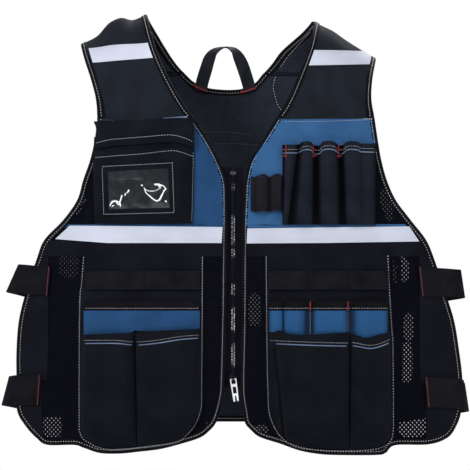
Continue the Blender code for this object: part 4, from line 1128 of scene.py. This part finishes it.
chest_rows = [row_on(flap_face, FLAP_ROW, 0.0002), row_on(chest_wall, WALL_ROW, 0.0002),
              row_on(chest_wall, FRAME_ROW, CLOTH * 1.1, smooth=False)]
stitch("chest_pocket_stitching", chest_rows, pale_thread, thick=0.0004)
side_rows = [row_on(chest_wall, [(193.2, 152), (193.1, 165), (192.6, 190), (191.8, 222)], 0.0002)]
stitch("chest_pocket_side_stitching", side_rows, pale_thread, thick=0.00026)

# Tool slots
# Four upright slots of black cloth on the right chest, gathered into tubes with dark valleys between; painted
# shade darkens the valleys further. Each mouth has a turned hem with a thin stitch and piping under it, and
# red tacks hold the seams between them.
SLOT_FOOT = 224.6
SLOT_TACK = 0.0068
red_thread = thread("red_thread", (0.16, 0.006, 0.014), (0.30, 0.014, 0.030), 0.5)
# Its valley colour is painted shade, laid into the valleys between the tubes by the crease mark.
slot_cloth = woven("slot_cloth", (0.0050, 0.0064, 0.0112), (0.0130, 0.0160, 0.0250), shine=0.03,
                   valley_shade=(0.0010, 0.0008, 0.0022))
# Node, mouth, left and right end of the foot, size as cut, depth, and the depth's rise and fall across.
SLOTS = [
    ("tool_slot_1", [(282.4, 144.9), (290, 144.6), (299.0, 144.7)],
     282.4, 288.2, (0.030, 0.118, 0.0026), 0.0085,
     [(0, 0.0), (0.14, 0.25), (0.3, 0.8), (0.55, 1.0), (0.8, 0.6), (1, 0.0)]),
    ("tool_slot_2", [(299.0, 144.7), (302, 142.2), (307, 141.3), (311, 141.9), (313.3, 145.0)],
     288.2, 314.0, (0.044, 0.122, 0.0050), 0.0145,
     [(0, 0.0), (0.16, 0.06), (0.3, 0.35), (0.46, 0.95), (0.68, 1.0), (0.86, 0.72), (0.95, 0.1), (1, 0.0)]),
    ("tool_slot_3", [(313.3, 145.0), (319, 145.6), (322.5, 142), (328.5, 140.8), (334.6, 141.9),
                     (338.9, 145.6)],
     314.0, 342.1, (0.056, 0.123, 0.0062), 0.0150,
     [(0, 0.0), (0.14, 0.04), (0.24, 0.3), (0.38, 0.92), (0.58, 1.0), (0.76, 0.9), (0.86, 0.35), (0.94, 0.03),
      (1, 0.0)]),
    ("tool_slot_4", [(338.9, 145.6), (343, 145.2), (346.6, 141.9), (352, 141), (358.6, 141.9), (361, 143.4),
                     (376, 143.8)],
     342.1, 376.0, (0.071, 0.122, 0.0076), 0.0138,
     [(0, 0.0), (0.08, 0.04), (0.14, 0.3), (0.22, 0.9), (0.4, 1.0), (0.53, 0.95), (0.60, 0.55), (0.66, 0.66),
      (0.85, 0.62), (0.95, 0.42), (1, 0.0)]),
]
hem_rows = []
for number, (node, mouth, foot_left, foot_right, size, depth, hill) in enumerate(SLOTS):
    left, right = (foot_left, SLOT_FOOT), (foot_right, SLOT_FOOT)
    plan = fill(mouth, [mouth[-1], right], [left, right], [mouth[0], left], 0.95)
    share, fall = shares(plan)
    deep = soft(fall, [(0, 1.0), (0.1, 0.93), (0.5, 0.9), (0.85, 0.72), (0.97, 0.42), (1, 0.3)])
    lip = dent(plan, [(mouth[0][0], mouth[0][1] + 9.5, mouth[-1][0], mouth[-1][1] + 9.5, -0.0005, 1.2)])
    stand = depth * soft(share, hill) * deep + lip
    # Where the tubes fall away: the mask for the painted shade in the valleys.
    valley_shade_mask = 1 - soft(share, hill)
    face = wall(f"{node}_wall", node, plan, stand, slot_cloth, crease=valley_shade_mask)
    inner_mouth = line(mouth, 60)[2:-2]
    hem_rows.append(row_on(face, inner_mouth + (0, 4.9), 0.0003, smooth=False))
    tube(f"slot_piping_{number + 1}", face(inner_mouth + (0, 8.4), 0.0006), 0.0009, piping)
stitch("slot_stitching", hem_rows, pale_thread, thick=0.0003)
tacks = []
for across in (285.8, 313.2, 338.6):
    tacks.append(row_on(on_front, [(across, 143.5), (across, 158)], POCKET_BASE + SLOT_TACK))
    for down in (149.6, 156.0):
        tacks.append(row_on(on_front, [(across - 3.2, down), (across + 3.2, down)], POCKET_BASE + SLOT_TACK))
stitch("slot_tacks", tacks, red_thread, pitch=0.0008, long=0.0016, thick=0.0004, across=True)

# Pen loops
# Two loops of black ribbed elastic beside the tool slots, pinched where they are sewn between pens.
ELASTIC = 0.0010
elastic = ribbed("elastic", (0.0065, 0.0065, 0.0085), (0.015, 0.015, 0.019), 0.0017, 0.0003)
# Node, mouth, foot, size as cut, depth, and the depth's rise and fall across.
LOOPS = [
    ("pen_loop_1", [(250.8, 176.6), (255, 177), (261, 174.3), (265, 174.2), (269.6, 177.4)],
     [(250.6, 211), (257, 212.2), (264, 210.6), (269.6, 212)], (0.037, 0.054, 0.0019), 0.0078,
     [(0, 0.05), (0.12, 0.7), (0.25, 0.35), (0.36, 0.85), (0.6, 1.0), (0.82, 0.8), (0.9, 0.2), (1, 0.0)]),
    ("pen_loop_2", [(269.6, 177.4), (272.4, 175.6), (277, 173.8), (281, 174.6), (282.2, 176)],
     [(269.6, 212), (275, 210.4), (282.2, 211)], (0.028, 0.054, 0.0014), 0.0074,
     [(0, 0.0), (0.14, 0.1), (0.26, 0.8), (0.5, 0.7), (0.62, 1.0), (0.88, 0.8), (1, 0.1)]),
]
for node, mouth, foot, size, depth, hill in LOOPS:
    plan = fill(mouth, [mouth[-1], foot[-1]], foot, [mouth[0], foot[0]], 0.8)
    share, fall = shares(plan)
    stand = depth * soft(share, hill) + 0.0004 * np.sin(fall * 9.0)
    wall(f"{node}_elastic", node, plan, stand, elastic, ELASTIC)

# Webbing bands
# A wide band of black webbing across each waist panel, sewn down at its ends and at upright rows between.
webbing = ribbed("webbing", (0.0036, 0.0037, 0.0056), (0.0090, 0.0094, 0.0130), 0.0016, 0.0003, 2.6)
# Side, left end, right end, seams between them, and size as cut.
BANDS = [("left", 84.6, 199.6, [144.6], (0.170, 0.027, 0.0045)),
         ("right", 268.2, 388.8, [308.4, 349.0], (0.178, 0.027, 0.0048))]
BAND_TOP = 271
BAND_FOOT = 289.5
seam_rows = []
for end, left, right, seams, size in BANDS:
    plan = oblong(left, right, BAND_TOP, BAND_FOOT, 1.3)
    pinch = np.ones(plan.shape[:2])
    for seam in [left + 1, *seams, right - 1]:
        pinch *= 1 - np.exp(-((plan[..., 0] - seam) / 1.7) ** 2)
    stand = 0.0001 + 0.0018 * pinch
    face = wall(f"webbing_{end}", f"webbing_band_{end}", plan, stand, webbing)
    seam_rows += [row_on(face, [(seam, BAND_TOP + 0.5), (seam, BAND_FOOT - 0.5)], 0.0001) for seam in seams]
stitch("webbing_stitching", seam_rows, dark_thread)

# Small blue pockets
# Shallow blue pockets under the bands, one wide on the left and three on the right, with black bound mouths.
# The right ones are gathered, with dark valleys, deepened by painted shade, and red tacks at the seams
# between them.
# Its valley colour is painted shade, laid into the valleys between the humps by the crease mark.
gathered_blue = woven("gathered_blue_cloth", (0.0085, 0.050, 0.135), (0.0170, 0.082, 0.215), shine=0.12,
                      valley_shade=(0.0040, 0.0150, 0.0420))
# Node, left, right, foot, size as cut, depth, and the depth's rise and fall across.
SMALL = [
    ("small_pocket_left", 83.6, 199.8, [(83.6, 335), (128, 332.6), (135, 330.2), (143, 331), (199.8, 330)],
     (0.173, 0.047, 0.0074), 0.0050,
     [(0, 0.05), (0.06, 0.85), (0.3, 1.0), (0.7, 0.9), (0.94, 0.85), (1, 0.05)]),
    ("small_pocket_right_1", 268.7, 310.2, [(268.7, 332), (283, 332), (288, 335), (310.2, 336)],
     (0.076, 0.048, 0.0034), 0.0120,
     [(0, 0.06), (0.07, 0.72), (0.30, 0.66), (0.36, 0.12), (0.42, 0.88), (0.72, 0.98), (0.84, 0.45),
      (0.9, 0.04), (1, 0.0)]),
    ("small_pocket_right_2", 310.2, 348.0, [(310.2, 335.6), (330, 335), (348, 334)],
     (0.067, 0.047, 0.0031), 0.0120,
     [(0, 0.0), (0.08, 0.06), (0.17, 0.9), (0.5, 1.0), (0.86, 0.95), (0.96, 0.4), (1, 0.0)]),
    ("small_pocket_right_3", 348.0, 388.3, [(348, 335), (358, 337), (368, 339), (378, 336.6), (388.3, 333.6)],
     (0.071, 0.053, 0.0035), 0.0120,
     [(0, 0.0), (0.1, 0.08), (0.18, 0.3), (0.26, 0.95), (0.6, 1.0), (0.9, 0.85), (1, 0.06)]),
]
SMALL_TOP = 303.2
SMALL_MOUTH = 301.4
SMALL_SEAMS = (310.2, 348.0)
SMALL_BINDING = 0.0132
mouth_rows = []
for node, left, right, foot, size, depth, hill in SMALL:
    high_left, high_right = (left, SMALL_TOP), (right, SMALL_TOP)
    plan = fill([high_left, high_right], [high_right, foot[-1]], foot, [high_left, foot[0]], 0.9)
    share, fall = shares(plan)
    deep = soft(fall, [(0, 0.82), (0.4, 1.0), (0.85, 0.85), (1, 0.6)])
    finish = darker_blue if node.endswith("left") else gathered_blue
    stand = depth * soft(share, hill) * deep
    # Where the humps fall away: the mask for the painted shade in the valleys.
    valley_shade_mask = 1 - soft(share, hill)
    face = wall(f"{node}_wall", node, plan, stand, finish, crease=valley_shade_mask)
    mouth = np.stack([np.linspace(left, right, 90), np.full(90, SMALL_MOUTH)], -1)
    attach(bind(f"{node}_mouth", mouth, -1, face, 0.0008, binding, SMALL_BINDING), "vest")
    mouth_rows.append(row_on(face, mouth[1:-1] + (0, 6.8), 0.0009, smooth=False))
stitch("small_pocket_stitching", mouth_rows, pale_thread, thick=0.00036)
seam_rows = [row_on(on_front, [(seam, 303), (seam, 336)], POCKET_BASE + 0.0026) for seam in SMALL_SEAMS]
stitch("small_pocket_seams", seam_rows, pale_thread, thick=0.00030)
tacks = [row_on(on_front, [(seam, 301.5), (seam, 310.5)], POCKET_BASE + 0.0050) for seam in SMALL_SEAMS]
stitch("small_pocket_tacks", tacks, red_thread, pitch=0.0008, long=0.0024, thick=0.0004, across=True)

# Lower pockets
# Deep black pockets fill the U of each waist panel, two to a side. Their mouths have a turned hem, a pale
# stitch and piping; they are sewn down at the sides, foot and middle seam, and sag a little.

# Node, four edges (mouth, right, foot, left), size as cut, depth, its rise and fall across, the stitched line
# under the mouth, and folds.
LOWER = [
    ("lower_pocket_left_outer", [(81.6, 334.6), (100, 334), (120, 333), (134.6, 332.4)],
     [(134.6, 332.4), (136.4, 446.2)],
     [(82.5, 434), (86, 438.5), (97, 445), (110, 447.5), (136.4, 446.2)],
     [(81.6, 334.6), (80.4, 380), (80.4, 417), (82.5, 434)], (0.098, 0.169, 0.0151), 0.0158,
     [(0, 0.05), (0.08, 0.7), (0.2, 0.95), (0.55, 1.0), (0.84, 0.92), (0.93, 0.6), (1, 0.04)],
     [(84, 340.4), (105, 340.2), (120, 340.4), (128, 341.6), (133, 341.6)],
     [(108, 350, 104, 440, -0.0012, 5), (119, 360, 121, 430, 0.0008, 6), (96, 400, 112, 436, -0.0011, 5),
      (129, 345, 133, 352, -0.0015, 3)]),
    ("lower_pocket_left_inner", [(135.4, 332.4), (146, 331.4), (170, 330), (200.6, 328.6)],
     [(200.6, 328.6), (200.6, 388), (199.2, 410), (193.6, 424)],
     [(137.2, 446.1), (153, 443.9), (176, 440.6), (186, 433), (193.6, 424)],
     [(135.4, 332.4), (137.2, 446.1)], (0.111, 0.168, 0.0167), 0.0158,
     [(0, 0.04), (0.07, 0.6), (0.16, 0.95), (0.5, 1.0), (0.85, 0.92), (0.94, 0.65), (1, 0.05)],
     [(137, 341.8), (143, 341.6), (160, 339.6), (180, 336.4), (199.6, 334.8)],
     [(176, 350, 177, 430, -0.0010, 5), (150, 380, 147, 436, -0.0009, 6), (189, 345, 184, 400, -0.0008, 4)]),
    ("lower_pocket_right_inner",
     [(268.4, 330.6), (283, 330.8), (288, 333.4), (305, 334.8), (330, 333.2), (349.6, 332.2)],
     [(349.6, 332.2), (349.0, 449)],
     [(277.6, 430), (291.5, 442.5), (303.5, 446.5), (322, 448.1), (337, 448.9), (349.0, 449)],
     [(268.4, 330.6), (268.8, 397), (270.4, 411), (273.4, 421), (277.6, 430)], (0.137, 0.172, 0.0215), 0.0170,
     [(0, 0.04), (0.07, 0.22), (0.13, 0.72), (0.22, 0.95), (0.55, 1.0), (0.86, 0.95), (0.95, 0.62),
      (1, 0.04)],
     [(270, 340.4), (285, 341), (315, 342.2), (348, 343)],
     [(276, 350, 285, 440, -0.0060, 2.0), (283, 352, 292, 436, 0.0014, 4), (338, 350, 341, 440, -0.0010, 5)]),
    ("lower_pocket_right_outer", [(350.4, 332.6), (358, 335.6), (367, 337.8), (378, 335), (390.6, 332.2)],
     [(390.6, 332.2), (391.6, 404), (391, 432), (388, 440)],
     [(349.8, 449), (362, 448.6), (376.5, 447), (384, 444), (388, 440)],
     [(350.4, 332.6), (349.8, 449)], (0.075, 0.170, 0.0117), 0.0150,
     [(0, 0.04), (0.1, 0.62), (0.22, 0.92), (0.5, 1.0), (0.8, 0.9), (0.93, 0.55), (1, 0.05)],
     [(352, 342.4), (358, 343.4), (370, 345.3), (380, 343.4), (389.6, 339.6)],
     [(383, 350, 381, 436, -0.0013, 5), (360, 352, 362, 430, -0.0007, 5)]),
]
mouth_rows = []
for node, mouth, right, foot, left, size, depth, hill, sewn, folds in LOWER:
    plan = fill(mouth, right, foot, left, 1.35)
    share, fall = shares(plan)
    deep = soft(fall, [(0, 0.72), (0.08, 0.9), (0.3, 1.0), (0.75, 0.92), (0.92, 0.62), (1, 0.03)])
    turned = 0.0004 * np.clip((0.095 - fall) / 0.02, 0.0, 1.0)
    stand = depth * soft(share, hill) * deep + dent(plan, folds) + turned
    face = wall(f"{node}_wall", node, plan, stand, black_cloth)
    mouth_rows.append(row_on(face, sewn, 0.0002))
    start = 7 if node.endswith("right_inner") else 2
    tube(f"{node}_piping", face(line(sewn, 90)[start:-2] + (0, 3.1), 0.0004), 0.00085, piping)
stitch("lower_pocket_stitching", mouth_rows, pale_thread, thick=0.00036)
waist_rows = [row_on(on_front, shrink(line(WAIST[side], 500), 1.6), PLY + CLOTH + 0.0003) for side in (-1, 1)]
stitch("waist_panel_stitching", waist_rows, pale_thread)

# Side straps
# Wide webbing loops join front to back at each side: tacked on the front with wine-red thread, round through
# the air and sewn on the back. They hang a little lower behind.
STRAP = 0.0018
# Node, side, upper and lower corner of the sewn end, upper and lower corner of the fold, and size as cut.
STRAPS = [
    ("side_strap_upper_left", -1, [(50, 266.6), (47.4, 295.6)], [(17.5, 264.0), (5.3, 291.4)],
     (0.044, 0.220, 0.0089)),
    ("side_strap_lower_left", -1, [(40.5, 374.6), (38.3, 405.6)], [(8.6, 376.4), (1.0, 405.0)],
     (0.045, 0.222, 0.0092)),
    ("side_strap_upper_right", 1, [(419, 266.8), (422, 296.6)], [(461.6, 269.6), (465.6, 297.5)],
     (0.044, 0.241, 0.0100)),
    ("side_strap_lower_right", 1, [(425.3, 377.2), (428, 407.6)], [(464.6, 383.6), (469, 411.5)],
     (0.045, 0.254, 0.0103)),
]
STRAP_ROWS = 22
STRAP_LIFT = POCKET_BASE + 0.0004 + STRAP
tacks = []
for node, side, sewn_end, folded, size in STRAPS:
    grid = []
    starts = np.linspace(sewn_end[0], sewn_end[1], STRAP_ROWS)
    folds = np.linspace(folded[0], folded[1], STRAP_ROWS)
    for start, fold in zip(starts, folds):
        edge = np.array([across_at(line(SIDE[side]), start[1]), start[1] * 0.6 + fold[1] * 0.4])
        behind = across_at(line(BACK_SIDE[side]), start[1])
        near = on_front(np.array([start, start * 0.5 + edge * 0.5 + (0, -0.2), edge]), STRAP_LIFT)
        leave = near[-1]
        far = on_back(np.array([[behind, fold[1] + 13.0], [behind - side * 9.0, fold[1] + 13.5],
                                [behind - side * 20.0, fold[1] + 14.0]]), POCKET_BASE + STRAP)
        fold_x = (fold[0] - NAPE_ACROSS) * ACROSS
        fold_z = (NAPE_DOWN - fold[1]) * DOWN
        span = far[0][1] - leave[1]
        land = far[0]
        turn = [(leave[0] * 0.35 + fold_x * 0.65, leave[1] + 0.07 * span, leave[2] * 0.35 + fold_z * 0.65),
                (fold_x, leave[1] + 0.24 * span, fold_z - 0.001),
                (fold_x * 0.72 + land[0] * 0.28, leave[1] + 0.55 * span, fold_z * 0.7 + land[2] * 0.3),
                (fold_x * 0.25 + land[0] * 0.75, leave[1] + 0.86 * span, fold_z * 0.25 + land[2] * 0.75)]
        grid.append(line(np.vstack([near, turn, far]), 90))
    grid = np.stack(grid)
    outer = grid if side > 0 else grid[:, ::-1]
    strap = cloth(f"{node}_webbing", outer, STRAP, webbing, [rolled_out(outer)])
    stand_for(strap, node)
    tacks.append(row_on(on_front, np.array(sewn_end) + (side * 1.3, 0.0), STRAP_LIFT + 0.0001))
wine_thread = thread("wine_thread", (0.065, 0.007, 0.013), (0.135, 0.012, 0.022), 0.5)
stitch("strap_tacks", tacks, wine_thread, pitch=0.0008, long=0.0019, thick=0.0004, across=True)

# Haul handle
# A loop of narrow webbing sewn inside the back neckline. It twists edge on at its crown, and a red tack holds
# each leg. A row is across, down, the turn in degrees and how far it stands forward in metres.
HANDLE = [
    (200.5, 89.6, 0, 0.0), (202, 81, 0, 0.0), (206, 67.5, 15, 0.0), (209.4, 57, 32, 0.002),
    (214.8, 49.8, 62, 0.005), (225, 45.8, 88, 0.008), (233.6, 48.8, 65, 0.006), (238, 54.6, 38, 0.003),
    (242, 63, 15, 0.001), (245.5, 73, 0, 0.0), (248.5, 83, 0, 0.0), (250.2, 89.4, 0, 0.0),
]
HANDLE_WIDTH = 0.0185
HANDLE_UNITS = np.array([1.0, 1.0, 4.0, 0.001])
# The loop's webbing is painted lighter than the other webbing: painted light, as it sits in the shade of the
# shoulders.
handle_webbing = ribbed("handle_webbing", (0.0120, 0.0140, 0.0190), (0.0300, 0.0350, 0.0440), 0.0016,
                        0.0003, 2.6)
HANDLE_INSIDE = 0.0032
rows = line(np.array(HANDLE) / HANDLE_UNITS, 110) * HANDLE_UNITS
middle = inside_back(rows[:, :2], HANDLE_INSIDE - 0.0009)
middle[:, 1] += rows[:, 3]
along = np.gradient(middle, axis=0)
along /= np.linalg.norm(along, axis=1, keepdims=True)
turn = np.radians(rows[:, 2:3])
beside = np.cross(along, [0.0, 1.0, 0.0])
beside /= np.linalg.norm(beside, axis=1, keepdims=True)
broad = beside * np.cos(turn) + np.array([0.0, 1.0, 0.0]) * np.sin(turn)
across = np.linspace(-0.5, 0.5, 9)
grid = middle[None] + broad[None] * (across * HANDLE_WIDTH)[:, None, None]
if normals(grid)[4, 2, 1] > 0:
    grid = grid[::-1]
handle = cloth("haul_loop", grid + normals(grid) * STRAP / 2, STRAP, handle_webbing, [rolled_out(grid)])
stand_for(handle, "haul_handle")
tacks = [row_on(inside_back, [(193, 84.0), (199, 87.0), (206, 90.0)], HANDLE_INSIDE + 0.0014),
         row_on(inside_back, [(240, 91.4), (248, 89.6), (256, 86.6)], HANDLE_INSIDE + 0.0014)]
stitch("handle_tacks", tacks, red_thread, pitch=0.0008, long=0.0032, thick=0.00055, across=True)

# Front zip
# A moulded zip closes the fronts: two tapes behind them, a comb of dark teeth on each with painted glints in
# stretches, a dull stop at the top, and a slider whose bright pull hangs on its bail.
ZIP_ACROSS = 233.1
ZIP_MIDDLE = 0.0045
ZIP_TOP = 175.0
ZIP_FOOT = 375.0
TOOTH_PITCH = 0.0042
tape_cloth = ribbed("zip_tape", (0.0022, 0.0022, 0.0050), (0.0052, 0.0052, 0.0105), 0.0012, 0.0002, 2.0)
for side, end in ((-1, "left"), (1, "right")):
    left, right = sorted((ZIP_ACROSS + side * 0.7, ZIP_ACROSS + side * 10.3))
    plan = oblong(left, right, ZIP_TOP - 8, ZIP_FOOT + 12, 1.2)
    tape = cloth(f"zip_tape_cloth_{end}", on_front(plan, -0.0016), 0.0012, tape_cloth)
    stand_for(tape, f"zip_tape_{end}")


def metal(name, dark, light, rough):
    """Plated metal: faint clouds and fine scratches, on the object's own coordinates."""
    material = bpy.data.materials.new(name)
    material.use_nodes = True
    shader = material.node_tree.nodes["Principled BSDF"]
    wire = Wire(material.node_tree, None)
    place = wire.take(wire.node("TexCoord"), "Object")
    cloud = wire.noise(place, 90.0, 3.0)
    scratch = wire.noise(place, 2500.0, 1.0)
    end_finish(wire, shader, cloud.over(0.35, 0.65).blend(rgba(*dark), rgba(*light)), cloud * 0.15 + rough,
               cloud + scratch * 0.3, 0.00006)
    shader.inputs["Metallic"].default_value = 1.0
    return material


dark_metal = metal("dark_plating", (0.018, 0.018, 0.024), (0.050, 0.050, 0.058), 0.20)
bright_metal = metal("bright_plating", (0.80, 0.80, 0.81), (0.95, 0.95, 0.96), 0.22)
bright_metal.node_tree.nodes["Principled BSDF"].inputs["Metallic"].default_value = 0.45
# Rows from and to which the teeth's heads carry a painted glint, and how much.
GLINT_ROWS = [(184, 190, 0.3), (216, 244, 0.7), (249, 257, 0.9), (284, 294, 0.7), (308, 331, 1.0), (344, 366, 0.8)]
tooth_metal, shader, wire, flat, run, rise = start_finish("glinting_teeth")
# Painted glints: the heads of the teeth go near white in the listed stretches, broken up by noise.
beside = (run - ZIP_MIDDLE).size()
head = beside.over(0.0009, 0.0013) * (1.0 - beside.over(0.0022, 0.0026))
painted_glint = rise * 0.0
for high, low, strength in GLINT_ROWS:
    top, foot = (NAPE_DOWN - high) * DOWN, (NAPE_DOWN - low) * DOWN
    stretch = rise.over(foot - 0.003, foot + 0.003) * (1.0 - rise.over(top - 0.003, top + 0.003))
    painted_glint = painted_glint + stretch * strength
painted_glint = painted_glint * wire.noise(flat, 260.0, 2.0).over(0.30, 0.60)
tone = (head * painted_glint).blend(rgba(0.006, 0.006, 0.011), rgba(0.85, 0.85, 0.88))
end_finish(wire, shader, tone, 0.4, head, 0.0002)
shader.inputs["Specular IOR Level"].default_value = 0.1
TOOTH_TALL = TOOTH_PITCH * 0.216
TOOTH_DEEP = 0.0013
# Sections of a tooth: how far in, and the shares of its height and depth there.
TOOTH = [(-0.0040, 0.8, 0.55), (-0.0012, 1.0, 1.0), (0.0002, 0.62, 0.9), (0.0011, 0.95, 0.95),
         (0.0018, 0.45, 0.5)]
turns = np.arange(8) * pi / 4 + pi / 8
for side, end in ((-1, "left"), (1, "right")):
    count = int((ZIP_FOOT - ZIP_TOP) * DOWN / TOOTH_PITCH)
    points, faces = [], []
    for tooth in range(count):
        down = ZIP_FOOT - (tooth + (0.3 if side < 0 else 0.8)) * TOOTH_PITCH / DOWN
        centre = on_front(np.array([ZIP_ACROSS, down]), 0.0)
        start = tooth * len(TOOTH) * 8
        for reach, tall, deep in TOOTH:
            for turn in turns:
                high = cos(turn) * tall * TOOTH_TALL
                points.append(centre + (-side * reach, -sin(turn) * deep * TOOTH_DEEP, high))
        for ring in range(len(TOOTH) - 1):
            for turn in range(8):
                a, b = start + ring * 8 + turn, start + ring * 8 + (turn + 1) % 8
                faces.append([a, b, b + 8, a + 8] if side > 0 else [a + 8, b + 8, b, a])
        first = [start + turn for turn in range(8)]
        last = [start + (len(TOOTH) - 1) * 8 + turn for turn in range(8)]
        faces += [first[::-1], last] if side > 0 else [first, last[::-1]]
    flat = [(point[0], point[2]) for point in points]
    comb = add_mesh(f"zip_comb_{end}", points, faces, flat, tooth_metal)
    stand_for(comb, f"zip_teeth_{end}")
dull_metal = metal("dull_plating", (0.045, 0.045, 0.055), (0.10, 0.10, 0.115), 0.5)
for node, finish in (("zip_top_stop", dull_metal), ("zip_slider", dark_metal), ("zip_pull", bright_metal)):
    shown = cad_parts[node].data
    shown.materials.clear()
    shown.materials.append(finish)
